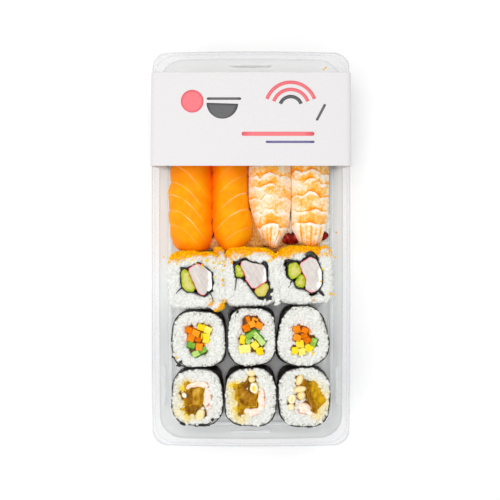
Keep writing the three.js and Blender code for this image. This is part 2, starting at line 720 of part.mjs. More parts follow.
function nigiriRice(piece, keepOut) {
  const stations = 7;
  const corners = 10;
  const near = piece.near + riceBlock.shorter / 2;
  const far = nigiriFar - riceBlock.shorter / 2;
  const middleZ = nigiriBase + riceBlock.height / 2 + 1;
  const loops = [];
  for (let i = 0; i <= stations; i += 1) {
    const part = i / stations;
    const endward = Math.abs(2 * part - 1);
    const fullness = mix(0.72, 1, (1 - endward ** 5) ** 0.4);
    const loop = [];
    for (let k = 0; k < corners; k += 1) {
      const angle = (2 * Math.PI * k) / corners;
      const bump = 1 - 0.06 * draw(piece.seed * 77 + i * 19 + k);
      const c = Math.cos(angle);
      const s = Math.sin(angle);
      const radius = (Math.abs(c) ** 3 + Math.abs(s) ** 3) ** (-1 / 3) * bump * fullness;
      const x = piece.x + ((piece.width - riceBlock.narrower) / 2) * radius * c;
      const z = Math.max(nigiriBase, middleZ + (riceBlock.height / 2 + 2) * radius * s);
      loop.push(new THREE.Vector3(x, mix(near, far, part), z));
    }
    loops.push(loop.reverse());
  }
  return largest(toSolid(skin(loops)).subtract(keepOut));
}

// The tail shell beside a prawn's near end: two flat blades on a short root.
function makePrawnTail(piece) {
  const blade = (turn) => {
    const outline = [[-1.2, 0], [1.2, 0], [3, -4], [2.6, -8], [0.4, -9.6], [-2.2, -8.4], [-2.8, -4]];
    const geometry = prism(slabOutline(outline), 0, 1.4);
    geometry.rotateX(THREE.MathUtils.degToRad(22));
    geometry.rotateZ(THREE.MathUtils.degToRad(turn));
    return toSolid(geometry.translate(piece.tail.x, piece.near + 9.6, 14));
  };
  return joinAll([blade(piece.tail.turn - 20), blade(piece.tail.turn + 20)]);
}

function makeSalmonNigiri(piece) {
  const slice = makeSalmonSlice(piece);
  const rice = nigiriRice(piece, makeSalmonSlice(piece, gap));
  return [
    finish(`${piece.name}_rice`, toGeometry(rice), foods.rice.colour, foods.rice.roughness),
    finish(`${piece.name}_slice`, toGeometry(slice), foods.salmon.colour, foods.salmon.roughness),
  ];
}

function makePrawnNigiri(piece) {
  const body = makePrawnBody(piece);
  const bodyRoom = makePrawnBody(piece, gap);
  const rice = nigiriRice(piece, bodyRoom);
  const tail = largest(makePrawnTail(piece).subtract(bodyRoom).subtract(rice));
  return [
    finish(`${piece.name}_rice`, toGeometry(rice), foods.rice.colour, foods.rice.roughness),
    finish(`${piece.name}_body`, toGeometry(body), foods.prawn.colour, foods.prawn.roughness),
    finish(`${piece.name}_tail`, toGeometry(tail), foods.prawnTail.colour, foods.prawnTail.roughness),
  ];
}

// ---------------------------------------------------------------- the whole pack

const sushiTray = new THREE.Group();
sushiTray.add(finish('tray', makeTray(), 0xe6e8ec, 0.15));
sushiTray.add(finish('card_band', makeBand(), 0xf2f2f4, 0.6));
sushiTray.add(...salmonNigiri.flatMap(makeSalmonNigiri));
sushiTray.add(...prawnNigiri.flatMap(makePrawnNigiri));
sushiTray.add(...insideOutRolls.flatMap(makeInsideOutRoll));
sushiTray.add(...[...vegetableRolls, ...gourdRolls].flatMap(makeWrappedRoll));

export default sushiTray;
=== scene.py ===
import math
from itertools import product

import bmesh
import bpy
import numpy as np
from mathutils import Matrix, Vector


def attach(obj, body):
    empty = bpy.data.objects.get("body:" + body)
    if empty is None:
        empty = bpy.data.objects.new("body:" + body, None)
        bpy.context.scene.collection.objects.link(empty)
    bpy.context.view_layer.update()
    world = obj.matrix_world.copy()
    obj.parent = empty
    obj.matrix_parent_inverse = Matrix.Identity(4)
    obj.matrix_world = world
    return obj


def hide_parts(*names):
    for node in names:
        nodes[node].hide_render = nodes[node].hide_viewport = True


# An open takeaway tray of sushi: clear tray, card band, four nigiri, three inside-out rolls
# with roe and six thick rolls. Sizes in the dictionaries are millimetres.
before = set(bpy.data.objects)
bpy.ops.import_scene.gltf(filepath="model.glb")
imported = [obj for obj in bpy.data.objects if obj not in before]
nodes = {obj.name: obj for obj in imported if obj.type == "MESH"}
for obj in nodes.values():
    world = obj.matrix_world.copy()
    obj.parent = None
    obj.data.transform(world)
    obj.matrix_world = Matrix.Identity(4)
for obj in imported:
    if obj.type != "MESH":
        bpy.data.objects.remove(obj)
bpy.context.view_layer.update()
mm = 0.001


def linearColour(hexText):
    channels = []
    for start in (0, 2, 4):
        value = int(hexText[start:start + 2], 16) / 255
        channels.append(value / 12.92 if value <= 0.04045 else ((value + 0.055) / 1.055) ** 2.4)
    return (*channels, 1.0)


def giveInput(tree, socket, value):
    # a number, a hex colour, "@" and the name of a field of the piece, a socket, or a node that
    # stands for its first output
    if isinstance(value, str) and value.startswith("@"):
        value = addNode(tree, "ShaderNodeAttribute", attribute_name=value[1:]).outputs["Fac"]
    if isinstance(value, bpy.types.Node):
        value = next(output for output in value.outputs if output.enabled)
    if isinstance(value, bpy.types.NodeSocket):
        tree.links.new(value, socket)
    else:
        socket.default_value = linearColour(value) if socket.type == "RGBA" else value


def addNode(tree, kind, *values, **settings):
    # values are the node's inputs in their order, or one dictionary of them by name
    node = tree.nodes.new(kind)
    for key, value in settings.items():
        if key == "stops":
            setStops(node.color_ramp, value)
        else:
            setattr(node, key, value)
    if values and isinstance(values[0], dict):
        pairs = [(node.inputs[key], value) for key, value in values[0].items()]
    else:
        pairs = zip([socket for socket in node.inputs if socket.enabled], values)
    for socket, value in pairs:
        giveInput(tree, socket, value)
    return node


def setStops(bar, stops):
    # a ramp's stops: the place of each, and its hex colour or grey
    while len(bar.elements) < len(stops):
        bar.elements.new(0.5)
    for element, (place, colour) in zip(bar.elements, stops):
        element.position = place
        element.color = linearColour(colour) if isinstance(colour, str) else (colour,) * 3 + (1,)


def noise(points, size, seed=0):
    # smooth repeatable noise from -1 to 1, with bumps about `size` millimetres across
    scaled = np.asarray(points, float) / size + seed * 17.31
    cell = np.floor(scaled)
    part = scaled - cell
    part = part * part * (3 - 2 * part)
    spread = np.array([127.1, 311.7, 74.7])[: scaled.shape[-1]]
    total = np.zeros(scaled.shape[:-1])
    for corner in product((0, 1), repeat=scaled.shape[-1]):
        wave = np.sin((cell + corner) @ spread) * 43758.5453
        weight = np.prod(np.where(corner, part, 1 - part), axis=-1)
        total += weight * (wave - np.floor(wave))
    return 2 * total - 1


def ease(low, high, value):
    t = np.clip((value - low) / (high - low), 0, 1)
    return t * t * (3 - 2 * t)


def turned(points, degrees):
    angle = math.radians(degrees)
    c, s = math.cos(angle), math.sin(angle)
    return np.asarray(points, float) @ np.array([[c, s], [-s, c]])


def evenSteps(path, step, closed=True):
    path = np.asarray(path, float)
    if closed:
        path = np.vstack([path, path[:1]])
    lengths = np.concatenate([[0], np.cumsum(np.linalg.norm(np.diff(path, axis=0), axis=1))])
    count = max(4, int(round(lengths[-1] / step)))
    stops = np.linspace(0, lengths[-1], count + 1)
    even = np.stack([np.interp(stops, lengths, path[:, k]) for k in range(path.shape[1])], 1)
    return even[:-1] if closed else even


def boxCorners(width, depth):
    return np.array([[-1, -1], [1, -1], [1, 1], [-1, 1]]) * [width / 2, depth / 2]


def wavering(points, size, *seeds):
    # an uneven shift in X and Y for each spot
    return np.column_stack([noise(points, size, seed) for seed in seeds])


def cornerArc(before, corner, after, radius, most, count):
    # a corner rounded off between its neighbours, taking at most this share of either side
    lengthIn, lengthOut = np.linalg.norm((before - corner)[:2]), np.linalg.norm((after - corner)[:2])
    start = corner + (before - corner) * min(radius / lengthIn, most)
    end = corner + (after - corner) * min(radius / lengthOut, most)
    return [start * (1 - t) ** 2 + corner * 2 * t * (1 - t) + end * t * t
            for t in np.linspace(0, 1, count)]


def roundOutline(corners, radius, step):
    # an anticlockwise outline with its corners rounded off, in even steps
    corners = np.asarray(corners, float)
    x, y = corners[:, 0], corners[:, 1]
    if np.sum(x * np.roll(y, -1) - y * np.roll(x, -1)) < 0:
        corners = corners[::-1]
    path = []
    for i, corner in enumerate(corners):
        path += cornerArc(corners[i - 1], corner, corners[(i + 1) % len(corners)], radius, 0.48, 6)
    return evenSteps(path, step)


def smoothPath(points, step):
    # a Catmull-Rom curve through a few points
    points = np.asarray(points, float)
    padded = np.vstack([2 * points[0] - points[1], points, 2 * points[-1] - points[-2]])
    path = []
    for a, b, c, d in zip(padded, padded[1:], padded[2:], padded[3:]):
        for t in np.linspace(0, 1, 12, endpoint=False):
            path.append(0.5 * (2 * b + (c - a) * t + (2 * a - 5 * b + 4 * c - d) * t * t
                               + (3 * b - a - 3 * c + d) * t ** 3))
    path.append(points[-1])
    return evenSteps(path, step, closed=False)


def towardsLoops(points, loops, closed=True):
    # from each XY point to the nearest of several outlines: the way there and its length
    points = np.asarray(points, float)[:, :2]
    best, offset = np.full(len(points), 1e9), np.zeros((len(points), 2))
    for loop in loops:
        loop = np.asarray(loop, float)
        along = (np.roll(loop, -1, axis=0) - loop)[:len(loop) if closed else -1]
        away = points[:, None] - loop[:len(along)]
        t = np.clip((away * along).sum(-1) / np.maximum((along ** 2).sum(-1), 1e-9), 0, 1)
        gaps = t[..., None] * along - away
        distance = np.linalg.norm(gaps, axis=-1)
        pick = distance.argmin(1)
        rows = np.arange(len(points))
        nearer = distance[rows, pick] < best
        best = np.where(nearer, distance[rows, pick], best)
        offset = np.where(nearer[:, None], gaps[rows, pick], offset)
    return offset, best


def closeIn(points, loops, most=0.8):
    # draws the rice up against what it is wrapped round
    offset, distance = towardsLoops(points, loops)
    move = np.clip(distance - 0.1, 0, most) * ease(3.2, 1.0, distance)
    points[:, :2] += offset / np.maximum(distance, 1e-6)[:, None] * move[:, None]
    return points


def curveAt(stops, values):
    # reads a smooth curve through (position, value) stops
    path = smoothPath(stops, 0.8)
    return np.interp(values, path[:, 0], path[:, 1])


def loftFaces(rows, columns, rowsClosed=False, caps=True):
    # faces between rows of points that each run once round
    faces = []
    for r in range(rows if rowsClosed else rows - 1):
        low, high = r * columns, ((r + 1) % rows) * columns
        for c in range(columns):
            d = (c + 1) % columns
            faces.append((low + c, low + d, high + d, high + c))
    if caps and not rowsClosed:
        faces.append(tuple(range(columns))[::-1])
        faces.append(tuple((rows - 1) * columns + c for c in range(columns)))
    return faces


def editMesh(mesh, change):
    work = bmesh.new()
    work.from_mesh(mesh)
    change(work)
    work.to_mesh(mesh)
    work.free()


def bareMesh(name, points, faces, outward=True):
    # a mesh in metres from points in millimetres
    mesh = bpy.data.meshes.new(name)
    mesh.from_pydata((np.asarray(points) * mm).tolist(), [], faces)
    if outward:
        editMesh(mesh, lambda work: bmesh.ops.recalc_face_normals(work, faces=work.faces))
    return mesh


def newObject(name, data):
    made = bpy.data.objects.new(name, data)
    bpy.context.scene.collection.objects.link(made)
    return made


def makePiece(name, parts, finish, smooth=True, outward=True):
    # parts are (points in mm, faces, {field: values}) and become one mesh
    faces, start = [], 0
    for partPoints, partFaces, _ in parts:
        faces.extend(tuple(i + start for i in face) for face in partFaces)
        start += len(partPoints)
    points = np.concatenate([np.asarray(part[0], float) for part in parts])
    mesh = bareMesh(name, points, faces, outward)
    for key in sorted({key for part in parts for key in part[2]}):
        writeField(mesh, key, np.concatenate([
            np.broadcast_to(part[2].get(key, 0.0), len(part[0])) for part in parts]))
    if smooth:
        mesh.shade_smooth()
    mesh.materials.append(finish)
    return newObject(name, mesh)


def settle(piece):
    # the modifiers' result becomes the piece's own plain mesh
    bpy.context.view_layer.update()
    evaluated = piece.evaluated_get(bpy.context.evaluated_depsgraph_get())
    solid = bpy.data.meshes.new_from_object(evaluated)
    piece.modifiers.clear()
    piece.data = solid


def handIn(piece, slotName, *replaced):
    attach(piece, "root")
    if replaced:
        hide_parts(*replaced)


def readVectors(items, key, unit=1):
    flat = np.empty(len(items) * 3, np.float32)
    items.foreach_get(key, flat)
    return flat.reshape(-1, 3).astype(float) / unit


def readPoints(mesh):
    return readVectors(mesh.vertices, "co", mm)


def writePoints(mesh, points):
    mesh.vertices.foreach_set("co", np.float32(np.asarray(points) * mm).ravel())
    mesh.update()


def writeField(mesh, name, values, domain="POINT"):
    attribute = mesh.attributes.get(name) or mesh.attributes.new(name, "FLOAT", domain)
    attribute.data.foreach_set("value", np.float32(values))


def slabPart(outline, low, top, edge=0.4, dome=0.0, relief=0.0, reliefSize=1.5, tilt=(0, 0), seed=0,
             stretch=None):
    # an upright block on an outline, with a rounded top edge and an uneven top
    outline = np.asarray(outline, float)
    centre = outline.mean(0)
    arms = outline - centre
    reach = np.linalg.norm(arms, axis=1)
    rows, rims, shares = [], [], []
    for height in np.linspace(0, 1, 5):
        rows.append(np.column_stack([outline, np.full(len(outline), low + (top - edge - low) * height)]))
        rims.append(np.zeros(len(outline)))
        shares.append(0)
    for angle in np.radians([30, 60, 90]):
        inset = np.minimum(edge * (1 - math.cos(angle)), reach * 0.6)
        scale = (1 - inset / reach)[:, None]
        height = top - edge + edge * math.sin(angle)
        rows.append(np.column_stack([centre + arms * scale, np.full(len(outline), height)]))
        rims.append(inset)
        shares.append(math.sin(angle) ** 2)
    inner = 1 - np.minimum(edge, reach * 0.6) / reach
    count = max(3, int(reach.max() / 0.55))
    for t in np.linspace(0, 1, count + 1)[1:]:
        scale = inner * (1 - 0.97 * t)
        rows.append(np.column_stack([centre + arms * scale[:, None], np.full(len(outline), top)]))
        rims.append((1 - scale) * reach)
        shares.append(1)
    points = np.concatenate(rows)
    rim = np.concatenate(rims)
    share = np.repeat(shares, len(outline))
    flat = points[:, :2]
    noisePlace = (flat if stretch is None else turned(flat, stretch) / [1, 5]) + seed * 3.7
    away = np.linalg.norm(flat - centre, axis=1) / reach.max()
    rise = dome * (1 - away ** 2) + (flat - centre) @ np.asarray(tilt, float)
    rise = rise + relief * (noise(noisePlace, reliefSize, seed)
                            + 0.4 * noise(noisePlace, reliefSize * 0.4, seed + 5))
    points[:, 2] += rise * share
    return points, loftFaces(len(rows), len(outline)), {"rim": rim}


def stickPart(x, y, width, depth, turn, low, top, seed, values):
    # a cut stick that stands on end, with frayed sides and a sloping top
    corners = boxCorners(width, depth)
    corners = corners * (1 + 0.05 * noise(corners + seed * 7.7, 2.1, seed)[:, None])
    outline = roundOutline(turned(corners, turn) + [x, y], values["corner"], 0.4)
    outline = outline + values["fray"] * wavering(outline, 1.3, seed, seed + 9)
    slope = noise(np.array([[seed * 1.7, 2.2], [5.1, seed * 2.3]]), 1.0, 3) * values["slope"]
    return slabPart(outline, low, top, values["edge"], values["dome"], values["relief"],
                    values["reliefSize"], slope, seed, turn)


def ribbonPart(path, width, low, top, closed=False, levels=7, edge=0.12):
    # an upright sheet that follows a path; side runs from -1 on its right to 1 on its left
    path = np.asarray(path, float)
    if closed:
        along = np.roll(path, -1, axis=0) - np.roll(path, 1, axis=0)
    else:
        along = np.gradient(path, axis=0)
    along = along / np.maximum(np.linalg.norm(along, axis=1), 1e-9)[:, None]
    normal = np.column_stack([-along[:, 1], along[:, 0]])
    steps = np.linspace(0, 1, levels)
    section = [(1, f, 0) for f in steps[:-1]] + [(1, 1, edge), (0.7, 1, 0.25 * edge), (0, 1, 0)]
    section += [(-0.7, 1, 0.25 * edge), (-1, 1, edge)] + [(-1, f, 0) for f in steps[:-1][::-1]]
    count = len(path)
    half = np.broadcast_to(np.asarray(width, float) / 2, count)
    tops = np.broadcast_to(np.asarray(top, float), count)
    rows = []
    for i in range(count):
        for side, share, down in section:
            spot = path[i] + normal[i] * side * half[i]
            rows.append((*spot, low + (tops[i] - low) * share - down))
    sides = np.tile([side for side, _, _ in section], count)
    return np.array(rows), loftFaces(count, len(section), rowsClosed=closed), {"side": sides}


def crumple(points, amount, size, seed):
    # moves an upright sheet sideways in soft folds
    points[:, 0] += amount * noise(points, size, seed)
    points[:, 1] += amount * noise(points, size, seed + 9)
    return points


def scatterTree():
    # copies of small shapes set on a surface where its field scatterHere says so
    tree = bpy.data.node_groups.new("scatterOnSurface", "GeometryNodeTree")
    sockets = {}
    wanted = (("Surface", "Geometry"), ("Shapes", "Collection"), ("Spacing", "Float"),
              ("Density", "Float"), ("Lift Low", "Float"), ("Lift High", "Float"), ("Tilt", "Float"),
              ("Smallest", "Float"), ("Largest", "Float"), ("Seed", "Int"), ("Finish", "Material"))
    for label, kind in wanted:
        sockets[label] = tree.interface.new_socket(
            label, in_out="INPUT", socket_type="NodeSocket" + kind).identifier
    tree.interface.new_socket("Result", in_out="OUTPUT", socket_type="NodeSocketGeometry")
    given = addNode(tree, "NodeGroupInput").outputs
    where = addNode(tree, "GeometryNodeInputNamedAttribute", "scatterHere", data_type="FLOAT")
    spots = addNode(tree, "GeometryNodeDistributePointsOnFaces", {
        "Mesh": given["Surface"], "Distance Min": given["Spacing"], "Density Max": given["Density"],
        "Density Factor": where, "Seed": given["Seed"]}, distribute_method="POISSON")
    marked = addNode(tree, "GeometryNodeStoreNamedAttribute", {
        "Geometry": spots, "Name": "outward", "Value": spots.outputs["Normal"]},
        data_type="FLOAT_VECTOR", domain="POINT")
    shapes = addNode(tree, "GeometryNodeCollectionInfo", given["Shapes"], True, True,
                     transform_space="ORIGINAL")
    # each copy leans at random by up to the tilt, and turns freely on the surface
    lean = addNode(tree, "ShaderNodeMath", given["Tilt"], -1.0, operation="MULTIPLY")
    turn = addNode(tree, "FunctionNodeRandomValue", {
        0: addNode(tree, "ShaderNodeCombineXYZ", lean, lean, 0.0),
        1: addNode(tree, "ShaderNodeCombineXYZ", given["Tilt"], given["Tilt"], 2 * math.pi),
        "Seed": given["Seed"]}, data_type="FLOAT_VECTOR")
    facing = addNode(tree, "FunctionNodeRotateRotation", spots.outputs["Rotation"],
                     addNode(tree, "FunctionNodeEulerToRotation", turn), rotation_space="LOCAL")
    size = addNode(tree, "FunctionNodeRandomValue", {
        2: given["Smallest"], 3: given["Largest"], "ID": addNode(tree, "GeometryNodeInputIndex")},
        data_type="FLOAT")
    copies = addNode(tree, "GeometryNodeInstanceOnPoints", {
        "Points": marked, "Instance": shapes, "Pick Instance": True, "Rotation": facing, "Scale": size})
    rise = addNode(tree, "FunctionNodeRandomValue", {
        2: given["Lift Low"], 3: given["Lift High"], "Seed": given["Seed"]}, data_type="FLOAT")
    outward = addNode(tree, "GeometryNodeInputNamedAttribute", "outward", data_type="FLOAT_VECTOR")
    moved = addNode(tree, "GeometryNodeTranslateInstances", {
        "Instances": copies, "Local Space": False,
        "Translation": addNode(tree, "ShaderNodeVectorMath", outward, rise, operation="SCALE")})
    tone = addNode(tree, "FunctionNodeRandomValue", {2: 0.0, 3: 1.0, "Seed": 77}, data_type="FLOAT")
    toned = addNode(tree, "GeometryNodeStoreNamedAttribute", {
        "Geometry": moved, "Name": "tone", "Value": tone}, data_type="FLOAT", domain="INSTANCE")
    real = addNode(tree, "GeometryNodeRealizeInstances", toned)
    finished = addNode(tree, "GeometryNodeSetMaterial", {"Geometry": real, "Material": given["Finish"]})
    addNode(tree, "NodeGroupOutput", finished)
    return tree, sockets


scatterNodes, scatterSockets = scatterTree()


def scatter(name, surface, mask, values, shapes, finish):
    # grains on the faces of a surface where the mask says so, as one plain mesh
    writeField(surface.data, "scatterHere", mask, "FACE")
    carrier = newObject(name, surface.data.copy())
    modifier = carrier.modifiers.new("scatter", "NODES")
    modifier.node_group = scatterNodes
    settings = {
        "Shapes": shapes, "Spacing": values["spacing"] * mm, "Density": values["perSquareMetre"],
        "Lift Low": values["lift"][0] * mm, "Lift High": values["lift"][1] * mm,
        "Tilt": math.radians(values["tilt"]), "Smallest": values["size"][0],
        "Largest": values["size"][1], "Seed": values["seed"], "Finish": finish}
    for label, value in settings.items():
        modifier[scatterSockets[label]] = value
    settle(carrier)
    carrier.data.shade_smooth()
    return carrier


def joinPieces(keeper, *others):
    with bpy.context.temp_override(active_object=keeper, selected_editable_objects=[keeper, *others]):
        bpy.ops.object.join()
    return keeper


def shapeCollection(name, meshes):
    # source shapes for the scatter, kept out of the scene itself
    group = bpy.data.collections.new(name)
    for i, mesh in enumerate(meshes):
        group.objects.link(bpy.data.objects.new(f"{name}{i}", mesh))
    return group


def grainPart(length, width, bend, around=8, bands=6):
    # a plump cooked grain, a little flat and bent, with a dent at one tip
    rows = []
    for i in range(bands + 1):
        t = math.cos(math.pi * (0.06 + 0.88 * i / bands))
        radius = width / 2 * (1 - abs(t) ** 2.6) ** 0.5 * (1.06 - 0.1 * t)
        for k in range(around):
            angle = 2 * math.pi * k / around
            rows.append((t * length / 2, radius * math.cos(angle) + bend * t * t,
                         0.82 * radius * math.sin(angle)))
    return np.array(rows), loftFaces(bands + 1, around)


def beadMesh(name, diameter, subdivisions=2):
    mesh = bpy.data.meshes.new(name)
    work = bmesh.new()
    bmesh.ops.create_icosphere(work, subdivisions=subdivisions, radius=diameter / 2 * mm)
    work.to_mesh(mesh)
    work.free()
    return mesh


def startMaterial(name, roughness, specular=None, ior=None, inside=()):
    # inside is how much light travels through the flesh, how far, and how far each colour reaches
    material = bpy.data.materials.new(name)
    material.use_nodes = True
    shader = material.node_tree.nodes["Principled BSDF"]
    wanted = [("Roughness", roughness), ("Specular IOR Level", specular), ("IOR", ior),
              *zip(("Subsurface Weight", "Subsurface Scale", "Subsurface Radius"), inside)]
    for key, value in wanted:
        if value is not None:
            shader.inputs[key].default_value = value

    def add(kind, *values, **settings):
        if kind == "Mix":
            settings["data_type"] = "RGBA"
        return addNode(material.node_tree, "ShaderNode" + kind, *values, **settings)

    return material, add


def paint(material, colour, relief=None, depth=0.0):
    # the material's colour, and a relief whose real height is `depth` millimetres
    tree = material.node_tree
    shader = tree.nodes["Principled BSDF"]
    giveInput(tree, shader.inputs["Base Color"], colour)
    if relief:
        giveInput(tree, shader.inputs["Normal"], addNode(tree, "ShaderNodeBump", {
            "Strength": 1.0, "Distance": depth * mm, "Height": relief}))
    return material


def blotches(add, size, detail=2.0, roughness=0.5, stretch=None, turn=0.0):
    # an uneven pattern whose blotches are `size` millimetres across; stretch lengthens them
    place = add("TexCoord").outputs["Object"]
    if stretch:
        place = add("Mapping", {"Vector": place, "Rotation": (0, 0, math.radians(turn)),
                                "Scale": stretch}, vector_type="TEXTURE")
    return add("TexNoise", {"Vector": place, "Scale": 1000 / size, "Detail": detail,
                            "Roughness": roughness})


def cutFlesh(add, size, stops, edgeShadeReach, edgeShadeColour):
    # each stick has its own tone, blotches break it up, and a painted shade deepens its colour at the rim
    mottle = add("Math", blotches(add, size, 3.0), 0.6, "@tone", operation="MULTIPLY_ADD")
    flesh = add("ValToRGB", mottle, stops=stops)
    edgeShade = add("ValToRGB", "@rim", stops=[(0.0, 1.0), (edgeShadeReach, 0.0)])
    return add("Mix", edgeShade, flesh, edgeShadeColour)


def clearPet():
    # thermoformed PET sheet: clear face on, whiter and glossier at a slant, with a faint haze
    # that takes light from both sides
    material, add = startMaterial("thermoformedClearPet", 0.2, ior=1.57)
    slant = add("LayerWeight", {"Blend": 0.5}).outputs["Facing"]
    steep = add("Math", slant, 1.6, operation="POWER")
    cover = add("Math", steep, 0.46, 0.2, operation="MULTIPLY_ADD")
    # painted shade greys the floor between the rolls, a white bloom lies on the rest of it;
    # bends and the rim's outer edge carry a painted grey shade line, and the ribs a painted white highlight
    for field, share in (("@film", 0.38), ("@bloom", 0.35), ("@crease", 0.18), ("@rib", 0.6)):
        cover = add("Math", field, share, cover, operation="MULTIPLY_ADD", use_clamp=True)
    # lamps shine through the thin sheet, so the food under it isn't left in the dark
    lamp = add("LightPath").outputs["Is Shadow Ray"]
    kept = add("Math", lamp, -0.9, 1.0, operation="MULTIPLY_ADD")
    cover = add("Math", cover, kept, operation="MULTIPLY")
    # the sheet's tint: painted shade between the rolls and at the bends, a painted white highlight on the
    # ribs, whiter on the rim
    sheet = "FAFAF8"
    for field, tint in (("@film", "DEDCDA"), ("@rimPart", "FFFFFF"), ("@crease", "CED1D2"),
                        ("@rib", "FFFFFF")):
        sheet = add("Mix", field, sheet, tint)
    paint(material, sheet, blotches(add, 9.0), 0.12)
    glow = add("BsdfTranslucent", sheet)
    lit = add("Math", "@farWall", 0.35, 0.6, operation="MULTIPLY_ADD")
    lit = add("Math", "@bloom", -0.55, lit, operation="MULTIPLY_ADD", use_clamp=True)
    haze = add("MixShader", lit, material.node_tree.nodes["Principled BSDF"], glow)
    clear = add("Mix", "@rimPart", "FCFDFE", "F8F8F9")
    mixed = add("MixShader", cover, add("BsdfTransparent", clear), haze)
    giveInput(material.node_tree, material.node_tree.nodes["Material Output"].inputs["Surface"], mixed)
    return material


def coatedCard():
    # folding boxboard with a clay coat: bright, satin, with a faint fibre tooth
    material, add = startMaterial("coatedFoldingCard", 0.5, ior=1.5)
    fibre = blotches(add, 0.8, 3.0)
    colour = add("ValToRGB", fibre, stops=[(0.3, "DBD9D9"), (0.7, "E1DFDF")])
    return paint(material, colour, fibre, 0.02)


def printingInk(name, pale, deep):
    # offset ink on the card: flat colour with a slight mottle
    material, add = startMaterial(name, 0.42)
    return paint(material, add("ValToRGB", blotches(add, 1.2), stops=[(0.3, pale), (0.7, deep)]))


def boiledRice():
    # steamed short-grain rice: milky, moist, each grain a little see-through, starch in the gaps
    material, add = startMaterial("boiledShortGrainRice", 0.4, ior=1.4,
                                  inside=(0.15, 0.8 * mm, (1.0, 0.95, 0.85)))
    body = add("Mix", "@tone", "E9E9E3", "F3F3EE")
    patches = add("ValToRGB", blotches(add, 3.2, 3.0), stops=[(0.36, 0.0), (0.62, 1.0)])
    body = add("Mix", patches, "E2E4DD", body)
    # specks of seaweed by the wrap, and flecks of carrot beside the carrot
    weedy = add("Math", "@weed", 0.14, blotches(add, 1.7, 2.0), operation="MULTIPLY_ADD")
    specks = add("ValToRGB", weedy, stops=[(0.66, 0.0), (0.78, 0.8)])
    body = add("Mix", specks, body, "8A8468")
    flecks = add("ValToRGB", blotches(add, 1.0, 2.0), stops=[(0.56, 0.0), (0.64, 0.9)])
    flecks = add("Math", flecks, "@flecks", operation="MULTIPLY")
    body = add("Mix", flecks, body, "F09060")
    # sauce stains, the roe's colour, painted shade in gaps, and painted shade and reflection on nigiri
    # rice, where the pieces say so
    for field, tint in (("@stain", "F6D408"), ("@blush", "C88A24"), ("@soaked", "7A4E18"),
                        ("@underRoe", "FFA400")):
        body = add("Mix", field, body, tint)
    return paint(material, body, blotches(add, 0.7, 2.0), 0.05)


def toastedSeaweed():
    # roasted nori: near black with a green-brown cast, leathery pores, dull gloss
    material, add = startMaterial("toastedNoriSheet", 0.55, ior=1.45)
    colour = add("ValToRGB", blotches(add, 1.6, 4.0, 0.6),
                 stops=[(0.3, "120D0E"), (0.55, "231B1A"), (0.8, "3A3322")])
    return paint(material, colour, blotches(add, 0.8, 4.0, 0.7), 0.12)


def rawSalmon():
    # raw salmon: orange muscle blocks parted by thin pale fat, moist, glowing through
    material, add = startMaterial("rawSalmonFlesh", 0.45, 0.07,
                                  inside=(0.15, 1.6 * mm, (1.0, 0.45, 0.1)))
    flesh = add("ValToRGB", blotches(add, 5.0, 3.0), stops=[(0.25, "FD9600"), (0.75, "FFAD0C")])
    # painted shade: a deeper orange where the piece marks light as lost
    flesh = add("Mix", "@deep", flesh, "FF8000")
    # a line of fat runs where the field phase, a little shaken, is a whole number
    wander = add("Math", blotches(add, 6.0, 2.0), 0.16, -0.08, operation="MULTIPLY_ADD")
    phase = add("Math", "@phase", wander, operation="ADD")
    past = add("Math", phase, add("Math", phase, operation="ROUND"), operation="SUBTRACT")
    width = add("Math", blotches(add, 7.0, 1.0), 0.09, 0.005, operation="MULTIPLY_ADD")
    away = add("Math", add("Math", past, operation="ABSOLUTE"), width, operation="DIVIDE")
    line = add("Math", 1.0, away, operation="SUBTRACT", use_clamp=True)
    line = add("Math", line, "@fat", operation="MULTIPLY", use_clamp=True)
    flesh = add("Mix", line, flesh, "FFD092")
    relief = add("Math", line, -0.6, blotches(add, 1.5, 3.0), operation="MULTIPLY_ADD")
    return paint(material, flesh, relief, 0.12)


def boiledPrawn():
    # boiled prawn: peach-white muscle with orange pigment under each ring, with painted shade there and a
    # painted highlight on the pale rims
    material, add = startMaterial("boiledPrawnFlesh", 0.42, 0.15,
                                  inside=(0.2, 1.0 * mm, (1.0, 0.7, 0.4)))
    broken = add("Math", blotches(add, 1.7, 4.0, 0.65), 2.4, -1.2, operation="MULTIPLY_ADD")
    streaks = add("Math", blotches(add, 0.9, 1.0, stretch=(1, 4, 1)), 1.6, -0.8,
                  operation="MULTIPLY_ADD")
    amount = add("Math", "@pigment", add("Math", broken, 0.62, operation="MULTIPLY"), operation="ADD")
    amount = add("Math", amount, add("Math", streaks, 0.1, operation="MULTIPLY"), operation="ADD")
    colour = add("ValToRGB", amount, stops=[(0.0, "FFF2E2"), (0.22, "FFE2BC"), (0.42, "FFC97A"),
                                            (0.62, "FFB642"), (0.85, "FFA420"), (1.0, "FE8C0C")])
    return paint(material, colour, blotches(add, 0.8, 3.0, stretch=(1, 3, 1)), 0.08)


def prawnShell():
    # tail shell: thin horny blades, dark red with orange ribs
    material, add = startMaterial("boiledPrawnTailShell", 0.45, 0.12)
    colour = add("ValToRGB", blotches(add, 2.4, 3.0),
                 stops=[(0.35, "5C0400"), (0.55, "861002"), (0.7, "BE5230")])
    return paint(material, colour, blotches(add, 0.6, 2.0, stretch=(1, 6, 1)), 0.1)


def cutCarrot():
    # raw carrot: crisp, wet cut faces with fine fibre
    material, add = startMaterial("cutCarrot", 0.4, 0.06, inside=(0.1, 1.0 * mm, (1.0, 0.4, 0.1)))
    stops = [(0.24, "DC6A00"), (0.46, "F68800"), (0.72, "FFA428")]
    colour = cutFlesh(add, 1.5, stops, 0.3, "C05600")
    return paint(material, colour, blotches(add, 0.5, 2.0), 0.06)


